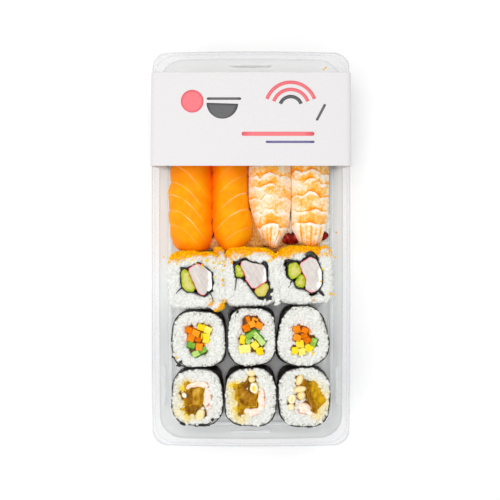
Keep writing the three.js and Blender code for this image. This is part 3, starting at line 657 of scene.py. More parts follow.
def rolledOmelette():
    # sweet omelette: soft yellow with paler layers
    material, add = startMaterial("rolledOmelette", 0.5, 0.06,
                                  inside=(0.15, 1.0 * mm, (1.0, 0.8, 0.3)))
    stops = [(0.28, "F2D400"), (0.5, "F8E22C"), (0.78, "FCF290")]
    colour = cutFlesh(add, 2.4, stops, 0.25, "D9A80A")
    return paint(material, colour, blotches(add, 0.9, 3.0), 0.1)


def cutCucumber():
    # cucumber: watery pale green flesh, dark skin along one side
    material, add = startMaterial("cutCucumber", 0.3, 0.15,
                                  inside=(0.15, 1.5 * mm, (0.7, 1.0, 0.4)))
    stops = [(0.25, "62A01C"), (0.5, "8EBE3C"), (0.75, "C8E088")]
    flesh = cutFlesh(add, 2.2, stops, 0.3, "4C8614")
    colour = add("Mix", "@skin", flesh, "2E7606")
    return paint(material, colour, blotches(add, 0.7, 2.0), 0.06)


def ripeAvocado():
    # avocado: buttery yellow inside, green next to the skin
    material, add = startMaterial("ripeAvocado", 0.45, 0.12,
                                  inside=(0.1, 1.0 * mm, (0.9, 1.0, 0.3)))
    inward = add("Math", "@rim", 0.5, operation="MULTIPLY")
    mottled = add("Math", blotches(add, 1.8, 3.0), 3.2, inward, operation="MULTIPLY_ADD")
    share = add("Math", mottled, 0.25, operation="MULTIPLY")
    deep = add("ValToRGB", share, stops=[(0.3, "76A006"), (0.45, "A0B81C"), (0.6, "C2C444"),
                                         (0.8, "D8D078")])
    pale = add("ValToRGB", share, stops=[(0.3, "C4B83C"), (0.8, "DED078")])
    colour = add("Mix", "@ripe", deep, pale)
    return paint(material, colour, blotches(add, 0.8, 3.0), 0.1)


def crabStick():
    # surimi: white pressed fibres under a thin pink-red skin
    material, add = startMaterial("surimiStick", 0.5, 0.3, inside=(0.1, 0.6 * mm))
    fibre = blotches(add, 1.6, 3.0, stretch=(1, 6, 1), turn=35)
    flesh = add("ValToRGB", fibre, stops=[(0.3, "CAC0BA"), (0.55, "D8D0CA"), (0.8, "EAE4DC")])
    atSkin = add("ValToRGB", "@skin", stops=[(0.3, 0.0), (0.8, 1.0)])
    patchy = add("ValToRGB", blotches(add, 3.0), stops=[(0.3, 0.45), (0.6, 1.0)])
    skin = add("Math", atSkin, patchy, operation="MULTIPLY")
    # a painted sheen whitens the flesh on the side the piece marks
    flesh = add("Mix", "@wet", flesh, "FFFFFF")
    return paint(material, add("Mix", skin, flesh, "FF4668"), fibre, 0.15)


def simmeredGourd():
    # dried gourd simmered in soy: limp amber strips, half see-through, golden where thin
    material, add = startMaterial("simmeredGourdStrip", 0.3, 0.08,
                                  inside=(0.2, 1.5 * mm, (1.0, 0.6, 0.1)))
    folds = blotches(add, 3.6, 2.0, 0.5, stretch=(1, 1.8, 1), turn=-12)
    fibre = blotches(add, 1.3, 3.0, 0.6, stretch=(1, 4, 1), turn=-12)
    folds = add("Math", folds, 0.7, operation="MULTIPLY")
    layers = add("Math", fibre, 0.35, folds, operation="MULTIPLY_ADD")
    brown = add("Math", "@tone", 0.0, operation="MAXIMUM")
    browned = add("Math", brown, 0.26, layers, operation="MULTIPLY_ADD")
    flesh = add("ValToRGB", browned, stops=[(0.4, "4E2E00"), (0.5, "845402"), (0.62, "A46E08"),
                                            (0.74, "C28C1E"), (0.86, "DEB04C")])
    golden = add("ValToRGB", layers, stops=[(0.42, "9C7402"), (0.52, "C09002"), (0.64, "DEAE08")])
    thin = add("Math", "@rim", -0.5, 0.5, operation="MULTIPLY_ADD", use_clamp=True)
    thin = add("Math", "@tone", -1.6, thin, operation="MULTIPLY_ADD", use_clamp=True)
    return paint(material, add("Mix", thin, flesh, golden), layers, 0.5)


def prawnStrip():
    # a strip of prawn in a roll: pale, with an orange-red outer edge
    material, add = startMaterial("prawnStripFlesh", 0.42, 0.15, inside=(0.2, 1.0 * mm))
    flesh = add("ValToRGB", blotches(add, 1.6, 3.0),
                stops=[(0.3, "F4CFA8"), (0.48, "FCE8D6"), (0.7, "FFF8F2")])
    outer = add("ValToRGB", "@side", stops=[(0.7, 0.0), (1.0, 1.0)])
    broken = add("ValToRGB", blotches(add, 2.2, 3.0), stops=[(0.4, 0.0), (0.5, 1.0)])
    edge = add("Math", outer, broken, operation="MULTIPLY")
    inner = add("Math", "@side", -1.0, operation="MULTIPLY")
    under = add("ValToRGB", inner, stops=[(0.7, 0.0), (1.0, 0.6)])
    flesh = add("Mix", under, flesh, "F0B26A")
    colour = add("Mix", edge, flesh, "F86420")
    return paint(material, colour, blotches(add, 0.8, 3.0), 0.1)


def cookedKernel():
    # pale cooked kernels: waxy cream, golden at the rim
    material, add = startMaterial("cookedPaleKernel", 0.38, 0.15,
                                  inside=(0.25, 1.0 * mm, (1.0, 0.8, 0.4)))
    inward = add("Math", "@rim", 0.25, operation="MULTIPLY")
    rim = add("Math", blotches(add, 2.0, 2.0), 0.6, inward, operation="MULTIPLY_ADD")
    golden = add("ValToRGB", rim, stops=[(0.2, "D4A236"), (0.4, "EECE80"), (0.75, "F8E6B0")])
    white = add("ValToRGB", rim, stops=[(0.25, "EAD48C"), (0.45, "FBF6E6"), (0.75, "FBF2D0"),
                                        (0.9, "F2D840")])
    colour = add("Mix", "@tone", golden, white)
    return paint(material, colour, blotches(add, 0.8, 2.0), 0.06)


def fishRoe():
    # salted roe: tiny tight eggs, golden orange, shiny
    material, add = startMaterial("saltedFishRoe", 0.35, 0.05)
    clumps = add("Math", blotches(add, 4.0, 2.0), 1.2, -0.6, operation="MULTIPLY_ADD")
    tone = add("Math", "@tone", clumps, operation="ADD")
    return paint(material, add("ValToRGB", tone, stops=[(0.0, "FFAA00"), (0.45, "FFC400"),
                                                        (1.0, "FFDE14")]))


def studioPaper():
    # matt backdrop paper
    material, add = startMaterial("paleBackdropPaper", 0.9)
    return paint(material, add("ValToRGB", blotches(add, 40.0), stops=[(0.3, "FAFAFA"), (0.7, "FDFDFD")]))


finishes = {
    "pet": clearPet(), "card": coatedCard(), "rice": boiledRice(), "nori": toastedSeaweed(),
    "salmon": rawSalmon(), "prawn": boiledPrawn(), "shell": prawnShell(), "carrot": cutCarrot(),
    "egg": rolledOmelette(), "cucumber": cutCucumber(), "avocado": ripeAvocado(),
    "surimi": crabStick(), "gourd": simmeredGourd(), "prawnStrip": prawnStrip(),
    "kernel": cookedKernel(), "roe": fishRoe(), "paper": studioPaper(),
    "coralInk": printingInk("coralPrintingInk", "F2727A", "EC656E"),
    "greyInk": printingInk("charcoalPrintingInk", "58585A", "4C4C4E"),
    "violetInk": printingInk("violetPrintingInk", "6C6496", "5E5688"),
}
print("materials made")

camera = {"x": -0.63, "y": -0.63, "height": 736, "lens": 80, "sensor": 36, "nearest": 10, "farthest": 20000}
studio = {"colour": "FFFFFF", "strength": 0.58, "floorSize": 5000, "floorAt": -0.05}
lights = [
    {"name": "overheadSoftbox", "at": (-160, 60, 1150), "size": 900, "watts": 6.5, "aim": (0, 0, 20)},
    {"name": "sideSoftbox", "at": (500, 650, 900), "size": 800, "watts": 1.75, "aim": (0, 0, 20)},
    {"name": "fillSoftbox", "at": (-650, -520, 420), "size": 600, "watts": 1.6, "aim": (0, 0, 20)},
]


def makeStage():
    scene = bpy.context.scene
    lens = bpy.data.cameras.new("overheadCamera")
    lens.lens = camera["lens"]
    lens.sensor_width = camera["sensor"]
    lens.clip_start, lens.clip_end = camera["nearest"] * mm, camera["farthest"] * mm
    eye = newObject("overheadCamera", lens)
    eye.location = Vector((camera["x"], camera["y"], camera["height"])) * mm
    scene.camera = eye
    for values in lights:
        lamp = bpy.data.lights.new(values["name"], "AREA")
        lamp.energy = values["watts"]
        lamp.size = values["size"] * mm
        stand = newObject(values["name"], lamp)
        stand.location = Vector(values["at"]) * mm
        aim = Vector(values["aim"]) - Vector(values["at"])
        stand.rotation_euler = aim.to_track_quat("-Z", "Y").to_euler()
    sky = bpy.data.worlds.new("paleStudio")
    sky.use_nodes = True
    background = sky.node_tree.nodes["Background"]
    background.inputs["Color"].default_value = linearColour(studio["colour"])
    background.inputs["Strength"].default_value = studio["strength"]
    scene.world = sky
    scene.view_settings.view_transform = "Standard"
    corners = boxCorners(studio["floorSize"], studio["floorSize"])
    points = np.column_stack([corners, np.full(4, studio["floorAt"])])
    floor = makePiece("studioFloor", [(points, [(0, 1, 2, 3)], {})], finishes["paper"], False, False)


makeStage()
print("stage made")

rimTop = 36
trayShape = {
    "halfWidth": 63, "halfLength": 125, "sideBow": 0.7, "endBow": 1.1, "sheet": 0.5,
    # the far part of the floor is a step higher
    "recessFrom": 50.5, "recessRise": 0.7,
    # inset from the outer edge, height, corner radius, from the rim's edge down to the floor
    "profile": [(0.25, 34.25, 9.5), (0.25, 34.8, 9.5), (2.0, 34.8, 12), (2.3, rimTop, 12),
                (5.5, rimTop, 14), (7.9, 4.2, 12), (8.9, 1.6, 10.6), (10.7, 1.0, 9.2), (11.0, 0.6, 9)],
    "rimInset": 5.6, "wallInset": 6.2, "wallFoot": 6,
    # the floor's rings and the line they close on, and where its painted shade between the rolls reaches
    "floorRings": (0.06, 0.12, 0.2, 0.3, 0.42, 0.55, 0.7, 0.85, 0.95), "spine": 70,
    "gapShadeX": 38, "gapShadeY": (-106, -8),
    "ribLong": 26, "ribDeep": 1.6, "ribAt": 20, "sideRibY": 88,
    "ribSteps": (-1.3, -1.0, -0.85, -0.7, -0.5, 0, 0.5, 0.7, 0.85, 1.0, 1.3),
}


def filletProfile(corners, radius, steps=4, longStep=1.6):
    # an open line of corners, rounded off, with its long stretches divided
    corners = np.asarray(corners, float)
    path = [corners[0]]
    for before, corner, after in zip(corners, corners[1:], corners[2:]):
        path += cornerArc(before, corner, after, radius, 0.45, steps + 1)
    path.append(corners[-1])
    filled = [path[0]]
    for point in path[1:]:
        count = max(1, int(np.linalg.norm((point - filled[-1])[:2]) / longStep))
        start = filled[-1]
        filled += [start + (point - start) * (k + 1) / count for k in range(count)]
    return np.array(filled)


def trayLoop(inset, corner, cornerSteps=12, sideEnd=104):
    # the right half from the near middle to the far middle, then its mirror image
    values = trayShape
    halfWidth, halfLength = values["halfWidth"] - inset, values["halfLength"] - inset
    straightX, straightY = halfWidth - corner, halfLength - corner
    points = [(x, -halfLength) for x in np.linspace(0.4, straightX, 32, endpoint=False)]
    turns = np.linspace(0, math.pi / 2, cornerSteps + 1)
    points += [(straightX + corner * math.sin(a), -straightY - corner * math.cos(a)) for a in turns]
    recess = values["recessFrom"]
    sideStops = [*np.linspace(-sideEnd, recess, 110)[1:], recess + 0.4, recess + 0.8]
    sideStops += list(np.linspace(recess + 0.8, sideEnd, 40)[1:-1])
    points += [(halfWidth, y) for y in sideStops]
    points += [(straightX + corner * math.cos(a), straightY + corner * math.sin(a)) for a in turns]
    points += [(x, halfLength) for x in np.linspace(straightX, 0.4, 33)[1:]]
    points = np.array(points)
    share = points[:, 1] / halfLength
    y = points[:, 1] - values["endBow"] * np.sign(share) * (points[:, 0] / halfWidth) ** 2 * share ** 6
    x = points[:, 0] * (1 - values["sideBow"] / values["halfWidth"] * share ** 2)
    right = np.column_stack([x, y])
    return np.vstack([right, (right * [-1, 1])[::-1]])


def trayRings():
    # the rings of the sheet from the rim's edge to the floor, and what each carries for its look
    values = trayShape
    profile = filletProfile(values["profile"], 0.4)
    # closer rings where the ribs stand out
    wall = profile[np.abs(profile[:, 1] - values["ribAt"]) >= 2]
    before = np.searchsorted(-wall[:, 1], -values["ribAt"])
    fine = values["ribAt"] - np.array(values["ribSteps"])
    high, low = wall[before - 1], wall[before]
    shares = (high[1] - fine) / (high[1] - low[1])
    profile = np.vstack([wall[:before], high + (low - high) * shares[:, None], wall[before:]])
    rows, looks = [], {"rimPart": [], "rib": [], "crease": []}
    for inset, height, corner in profile:
        loop = trayLoop(inset, corner)
        onRim = inset < values["rimInset"]
        # painted shade line at the bend into the wall, softer at the far end, and at the rim's outer edge
        bend = float(ease(30, 34.5, height)) * (not onRim)
        bend = bend * (1 - 0.5 * ease(100, 116, loop[:, 1]))
        looks["crease"].append(np.maximum(bend, 0.5 * (inset < 1.1)))
        looks["rimPart"].append(np.full(len(loop), float(onRim)))
        looks["rib"].append(np.zeros(len(loop)))
        if inset > values["wallInset"] and height > values["wallFoot"]:
            band = float(ease(1.02, 0.66, abs(height - values["ribAt"])))
            half, away = values["ribLong"] / 2, np.abs(loop)
            sideRib = ease(0, 0.9, half - np.abs(away[:, 1] - values["sideRibY"])) * (away[:, 0] > 50)
            endRib = ease(0, 0.9, half - away[:, 0]) * (away[:, 1] > 112)
            loop[:, 0] -= np.sign(loop[:, 0]) * values["ribDeep"] * band * sideRib
            loop[:, 1] -= np.sign(loop[:, 1]) * values["ribDeep"] * band * endRib
            # the place of the ribs also carries a painted white highlight
            looks["rib"][-1] = band * np.maximum(sideRib, endRib)
        step = ease(values["recessFrom"], values["recessFrom"] + 0.8, loop[:, 1])
        rise = values["recessRise"] * float(ease(4.5, 1.2, height)) * step
        rows.append(np.column_stack([loop, height + rise]))
    return rows, looks


def faceUp(work):
    # an open sheet has no outside of its own, so its floor is turned to face up
    bmesh.ops.recalc_face_normals(work, faces=work.faces)
    if max(work.faces, key=lambda face: face.calc_area()).normal.z < 0:
        bmesh.ops.reverse_faces(work, faces=work.faces)


def makeTray():
    values = trayShape
    rows, looks = trayRings()
    size = len(rows[0])
    # the floor closes in rings towards a line along its middle
    floorLoop = rows[-1]
    spine = np.clip(floorLoop[:, 1], -values["spine"], values["spine"])
    for share in values["floorRings"]:
        ring = floorLoop.copy()
        ring[:, 0] = floorLoop[:, 0] * (1 - share)
        ring[:, 1] = floorLoop[:, 1] * (1 - share) + spine * share
        rows.append(ring)
    faces = loftFaces(len(rows), size, caps=False)
    start = (len(rows) - 1) * size
    for i in range(size // 2 - 1):
        a, b = start + i, start + i + 1
        faces.append((a, b, start + size - 2 - i, start + size - 1 - i))
    points = np.concatenate(rows)
    blank = [np.zeros(size)] * len(values["floorRings"])
    fields = {key: np.concatenate(rings + blank) for key, rings in looks.items()}
    onFloor = ease(1.4, 1.0, points[:, 2] - 0.7 * (points[:, 1] > values["recessFrom"]))
    fields["farWall"] = ease(108, 112, points[:, 1]) * (1 - fields["rimPart"]) * (1 - onFloor)
    # painted shade: the floor between the rolls is greyed, and bloom lies on the rest of the floor
    gapShadeX, (gapShadeNear, gapShadeFar) = values["gapShadeX"], values["gapShadeY"]
    film = onFloor * ease(gapShadeX + 6, gapShadeX, np.abs(points[:, 0]))
    film = film * ease(gapShadeNear - 6, gapShadeNear, points[:, 1])
    fields["film"] = film * ease(gapShadeFar + 4, gapShadeFar, points[:, 1])
    fields["bloom"] = onFloor - fields["film"]
    piece = makePiece("clearTray", [(points, faces, fields)], finishes["pet"], outward=False)
    editMesh(piece.data, faceUp)
    thickness = piece.modifiers.new("sheet", "SOLIDIFY")
    thickness.thickness = values["sheet"] * mm
    thickness.offset = -1
    settle(piece)
    piece.data.shade_smooth()
    handIn(piece, "clear_plastic", "tray")


makeTray()
print("tray made")

bandShape = {"near": 52.4, "far": 111.2, "card": 0.4, "crown": 0.5, "gap": 0.3, "fold": 1.6,
             "stations": 16, "sag": 0.25, "hem": 0.12}


def bandSection(y):
    # the inner and outer outline of the card across the tray at y
    values = bandShape
    edge = trayShape["halfWidth"] - trayShape["sideBow"] * (y / trayShape["halfLength"]) ** 2 + 0.4
    top = rimTop + values["gap"]
    half = [(0, top + values["crown"]), (30, top + values["crown"] * 0.75), (edge - 1.6, top),
            (edge, top - 1.6), (edge - 3.4, 17), (edge - 6.9, 2.2), (edge - 8.4, values["card"]),
            (0, values["card"])]
    right = filletProfile(half, values["fold"], 5, 5.0)[:, :2]
    left = right[1:-1][::-1] * [-1, 1]
    inner = np.vstack([right, left])
    along = np.roll(inner, -1, axis=0) - np.roll(inner, 1, axis=0)
    along = along / np.linalg.norm(along, axis=1)[:, None]
    outer = inner + np.column_stack([-along[:, 1], along[:, 0]]) * values["card"]
    if outer[0, 1] < inner[0, 1]:
        outer = 2 * inner - outer
    return inner, outer


def cardSag(x, y):
    # how far the card's upper face waves up and down
    sag = bandShape["sag"] * noise(np.column_stack([x, y]), 26, 2)
    return sag * np.clip((58 - np.abs(x)) / 20, 0, 1)


def cardTop(flat):
    # the height of the card's upper face at XY spots
    x, y = flat.T
    crown = np.interp(np.abs(x), [0, 30, 61], [bandShape["crown"], bandShape["crown"] * 0.75, 0])
    return rimTop + bandShape["gap"] + bandShape["card"] + crown + cardSag(x, y)


def makeBand():
    near, far, hem = bandShape["near"], bandShape["far"], bandShape["hem"]
    stops = np.concatenate([[near], np.linspace(near + hem, far - hem, bandShape["stations"]), [far]])
    loops = []
    for face, order in ((1, stops), (0, stops[::-1])):
        for y in order:
            x, z = bandSection(y)[face].T
            along = np.full(len(x), y)
            z = z + np.where(z > rimTop - 1, cardSag(x, along), 0)
            loops.append(np.column_stack([x, along, np.maximum(z, 0.0)]))
    faces = loftFaces(len(loops), len(loops[0]), rowsClosed=True)
    piece = makePiece("cardBand", [(np.concatenate(loops), faces, {})], finishes["card"])
    handIn(piece, "white_card", "card_band")


def inkPart(outline):
    # a thin film of ink that follows the card
    outline = np.asarray(outline, float)
    centre = outline.mean(0)
    rows = []
    for scale, lift in ((1.0, -0.02), (1.0, 0.03), (0.72, 0.035), (0.44, 0.035), (0.16, 0.035)):
        flat = centre + (outline - centre) * scale
        rows.append(np.column_stack([flat, cardTop(flat) + lift]))
    return np.concatenate(rows), loftFaces(len(rows), len(outline)), {}


def discOutline(x, y, radius, start=0, sweep=360):
    angles = np.radians(np.linspace(start, start + sweep, 49, endpoint=sweep < 360)[:48])
    return np.column_stack([x + radius * np.cos(angles), y + radius * np.sin(angles)])


def barOutline(x, y, long, tall, turn=0.0):
    return roundOutline(turned(boxCorners(long, tall), turn) + [x, y], tall * 0.45, 1.2)


def arcInk(x, y, radius, width, start, sweep):
    # a ring-shaped stripe of ink
    angles = np.radians(np.linspace(start, start + sweep, 30))
    outer, inner = [np.column_stack([x + reach * np.cos(angles), y + reach * np.sin(angles)])
                    for reach in (radius, radius - width)]
    rows = []
    for flat, lift in ((outer, -0.02), (outer, 0.03), (inner, 0.03), (inner, -0.02)):
        rows.append(np.column_stack([flat, cardTop(flat) + lift]))
    return np.stack(rows, 1).reshape(-1, 3), loftFaces(len(outer), 4), {}


# discs and half discs: x, y, radius, start, sweep; bars: x, y, long, tall, turn;
# arcs: x, y, radius, width, start, sweep
printShapes = {
    "coralInk": [("disc", -37, 93, 7.2), ("bar", 17, 72.5, 46, 2.6, 0), ("arc", 25, 89, 17, 2.2, 20, 140),
                 ("arc", 25, 89, 12.5, 2.2, 20, 140)],
    "greyInk": [("disc", -18, 92, 10, 180, 180), ("bar", -17, 94.6, 22, 1.6, 0),
                ("arc", 25, 89, 8, 2.2, 20, 140), ("bar", 44, 86, 12, 1.6, 62)],
    "violetInk": [("bar", 24.6, 67.4, 31, 1.5, 0)],
}


def makePrint():
    for ink, shapes in printShapes.items():
        parts = []
        for kind, *numbers in shapes:
            if kind == "arc":
                parts.append(arcInk(*numbers))
            else:
                parts.append(inkPart((barOutline if kind == "bar" else discOutline)(*numbers)))
        handIn(makePiece(ink.replace("Ink", "Print"), parts, finishes[ink]), "white_card")


makeBand()
makePrint()
print("card band made")

grains = shapeCollection("riceGrain", [
    bareMesh("riceGrainLong", *grainPart(5.6, 2.7, 0.18)),
    bareMesh("riceGrainShort", *grainPart(4.7, 2.8, 0.05)),
    bareMesh("riceGrainBent", *grainPart(5.3, 2.5, 0.35)),
])
roeBeads = shapeCollection("roeBead", [
    beadMesh("roeBeadLarge", 1.15), beadMesh("roeBeadSmall", 0.9), beadMesh("roeBeadMiddle", 1.0)])

riceValues = {"voxel": 0.9, "sunk": 0.4, "plugBelow": 1.8, "spacing": 1.65, "perSquareMetre": 360000,
              "lift": (-0.8, -0.1), "tilt": 38, "size": (0.78, 1.0), "lowest": 4}
roeValues = {"spacing": 0.75, "perSquareMetre": 2600000, "lift": (0.1, 0.55), "tilt": 180,
             "size": (0.75, 1.2)}


def riceCore(nodeName, sink=(0, 0, 0), plugs=()):
    # the pressed mass under the loose-looking grains; plugs close its holes a little below the top
    source = nodes[nodeName].data.copy()
    editMesh(source, lambda work: bmesh.ops.remove_doubles(work, verts=work.verts, dist=0.00001))
    core = newObject(nodeName + "_core", source)
    if plugs:
        joinPieces(core, makePiece(nodeName + "_plugs", plugs, finishes["rice"]))
    remesh = core.modifiers.new("remesh", "REMESH")
    remesh.mode = "VOXEL"
    remesh.voxel_size = riceValues["voxel"] * mm
    relax = core.modifiers.new("relax", "SMOOTH")
    relax.factor, relax.iterations = 0.5, 3
    settle(core)
    mesh = core.data
    for key in [a.name for a in mesh.attributes if a.name.startswith("custom") or a.name == "sharp_face"]:
        mesh.attributes.remove(mesh.attributes[key])
    mesh.materials.clear()
    mesh.materials.append(finishes["rice"])
    normals = readVectors(mesh.vertex_normals, "vector")
    writePoints(mesh, readPoints(mesh) - normals * np.asarray(sink))
    mesh.shade_smooth()
    return core


def faceFacts(mesh):
    # the middle of each face in millimetres, and its normal
    return readVectors(mesh.polygons, "center", mm), readVectors(mesh.polygons, "normal")


noriValues = {"sheet": 0.42, "sag": 1.4, "inset": 0.3, "lap": 0.5, "fold": 0.22, "foldSize": 4.0,
              "ragged": 0.4, "notch": 1.2, "below": 0.15}
rollBase, rollTop = 0.9, 27.0


def inTray(roll, corners):
    # from a roll's own middle to the tray's
    return np.array(corners) + [roll["x"], roll["y"]]


def aroundRoll(roll, points):
    # each spot's offset from the roll's middle, and its angle round it
    flat = points[:, :2] - [roll["x"], roll["y"]]
    return flat, np.arctan2(flat[:, 1] / roll["depth"], flat[:, 0] / roll["width"])


def rollOutline(roll, angles, inset=0.0):
    # a rounded square; a taper below zero narrows its far side
    angles = np.asarray(angles, float)
    c, s = np.cos(angles), np.sin(angles)
    power = roll["squareness"]
    radius = (np.abs(c) ** power + np.abs(s) ** power) ** (-1 / power)
    wobble = 1 + 0.012 * np.sin(3 * angles + roll["seed"]) + 0.01 * np.sin(5 * angles - roll["seed"])
    x = (roll["width"] / 2 - inset) * radius * c * (1 + roll["taper"] * radius * s)
    y = (roll["depth"] / 2 - inset) * radius * s
    return np.stack([x * wobble, y * wobble], -1)


def drawIn(points, roll):
    # a roll is narrower near its base, because the tray's walls lean, and its corners sag there,
    # on the side away from the wall
    flat, angles = aroundRoll(roll, points)
    c, s = np.abs(np.cos(angles)), np.abs(np.sin(angles))
    power = roll["squareness"]
    inward = ease(-0.3, 0.4, -np.sign(roll["x"]) * np.cos(angles))
    if abs(roll["x"]) < 10:
        inward = 1.0
    sagged = power + noriValues["sag"] * ease(24, 8, points[:, 2]) * inward
    corner = (c ** sagged + s ** sagged) ** (-1 / sagged) / (c ** power + s ** power) ** (-1 / power)
    scale = np.interp(points[:, 2], [rollBase, rollBase + 5], [0.97, 1]) * corner
    points[:, :2] = flat * scale[:, None] + [roll["x"], roll["y"]]
    return points


def pressInside(points, roll, inset):
    # nothing sticks out through the seaweed
    flat, angles = aroundRoll(roll, points)
    limit = np.linalg.norm(rollOutline(roll, angles, inset), axis=1)
    reach = np.linalg.norm(flat, axis=1)
    flat *= np.minimum(1, limit / np.maximum(reach, 1e-6))[:, None]
    points[:, :2] = flat + [roll["x"], roll["y"]]
    return points


fillingValues = {
    "carrot": {"corner": 0.25, "edge": 0.22, "dome": 0.0, "relief": 0.08, "reliefSize": 1.4, "slope": 0.3,
               "grow": -0.45, "uneven": 1.4, "fray": 0.25},
    "egg": {"corner": 0.5, "edge": 0.35, "dome": 0.05, "relief": 0.15, "reliefSize": 1.6, "slope": 0.16,
            "grow": -0.3, "uneven": 0.8, "fray": 0.35},
    "cucumber": {"corner": 0.4, "edge": 0.3, "dome": 0.0, "relief": 0.1, "reliefSize": 1.6, "slope": 0.14,
                 "grow": -0.2, "uneven": 0.8, "fray": 0.25},
    "kernel": {"edge": 1.3, "dome": 0.5, "relief": 0.1, "reliefSize": 1.6, "grow": 0.4, "uneven": 0.5},
}

# sticks are (x, y, width, depth, turn in degrees, top above the rice) from the roll's middle;
# skinSide points to the cucumber's skin
vegetableRolls = [
    {"name": "vegetable_roll_left", "x": -33.6, "y": -57.6, "width": 34.6, "depth": 36.2,
     "squareness": 3.3, "taper": -0.06, "seed": 1, "skinSide": (0, -1),
     "carrot": [(-6, 6, 4.8, 4.4, -22, .4), (-1.6, 4, 5.8, 4.8, -24, .8),
                (-4.6, 0.9, 5.2, 5.2, -20, .9), (0.1, -0.1, 4.6, 4.6, -30, .2),
                (0.6, -4.8, 4.8, 5.2, -8, .6), (-2.4, 7, 3.2, 2.6, 30, .1),
                (4.4, -4.4, 1.8, 5, 18, -.2)],
     "egg": [(1.8, 7.6, 4.9, 4.8, -22, .5), (6.1, 5.8, 5.0, 4.9, -22, .7), (5.2, 0.7, 4.9, 6.4, -5, .6),
             (2.4, 2.3, 1.8, 4.2, -12, .1)],
     "cucumber": [(-4.6, -3.9, 5.2, 4.6, -16, .3), (-1.4, -9.4, 5.2, 4.8, 28, .4),
                  (2.8, -7.4, 5.8, 4.4, 32, .1), (7.6, -1.8, 1.5, 3.4, 8, -.2)],
     # folds of seaweed at the rim: the line of each and its width
     "tails": [([(-12.9, -17.4), (-11.9, -15.1), (-10.6, -13.6)], 2.4),
               ([(-11.2, -14.6), (-9.6, -16), (-8.6, -18)], 0.8),
               ([(-17, -11.3), (-15.8, -11.5), (-14.6, -11.8)], 1.2)]},
    {"name": "vegetable_roll_mid", "x": 0.5, "y": -56.1, "width": 30.9, "depth": 37.2,
     "squareness": 3.2, "taper": 0.0, "seed": 2, "skinSide": (0, 1),
     "carrot": [(-2.4, 11.4, 3, 4.4, 10, .3), (0.2, 8.2, 4.8, 4.8, 25, .8),
                (4.8, 7.3, 5.2, 4.8, -24, .9), (-3.5, 5.5, 5, 5.2, 25, .6),
                (2.2, 11.2, 4.6, 2.4, -15, .2)],
     "cucumber": [(-0.8, 1.6, 6.4, 4.4, 32, .6), (4.9, -0.9, 10.2, 4.6, -48, .8),
                  (-2.2, -2.4, 3.8, 4.6, -22, .2), (3.4, 3.6, 5.4, 2.4, -18, .3)],
     "egg": [(-5.9, -1.7, 3.8, 5.8, -10, .4), (-4.6, -7.6, 7.8, 5.8, 8, .5), (2.0, -5.2, 5, 5, 40, .7),
             (5.0, -9, 5.2, 5.2, 15, .6)],
     # rice that fills a gap beside the sticks
     "riceFill": [(8.4, 2.0, 4.4, 6.0, 10)],
     "tails": [([(-8.6, 16.6), (-9.8, 14.6), (-10.4, 12.4)], 1.4),
               ([(-10.8, 18.2), (-13.1, 17.2), (-14.4, 15), (-14.8, 12)], 1.9)]},
    {"name": "vegetable_roll_right", "x": 33.1, "y": -55.6, "width": 32.6, "depth": 38.8,
     "squareness": 2.6, "taper": -0.12, "seed": 3, "skinSide": (1, 0),
     "carrot": [(-3.9, 4.1, 5.4, 5.2, 14, .5), (1.3, 3.7, 5, 4.6, -24, .8),
                (-3.6, -0.9, 5.6, 4.8, -20, .7), (0.9, -0.1, 4.8, 3.8, -12, .1),
                (3.0, -2.6, 4.8, 4.4, 32, .6), (4.9, 2.2, 3, 3.4, 20, -.3),
                (-1.2, 7.4, 1.5, 2.8, -12, -.2)],
     "cucumber": [(6.9, -4.4, 4.6, 6.2, -20, .2)],
     "egg": [(-1.8, -5.1, 5.6, 5.2, 10, .8), (-5, -9.2, 4.6, 5, 4, .3), (-0.6, -9.9, 5.2, 5, 6, .6),
             (3.9, -7.8, 5.8, 5.2, -30, .7), (6, -11.2, 3.6, 2.4, 10, -.2)]},
]

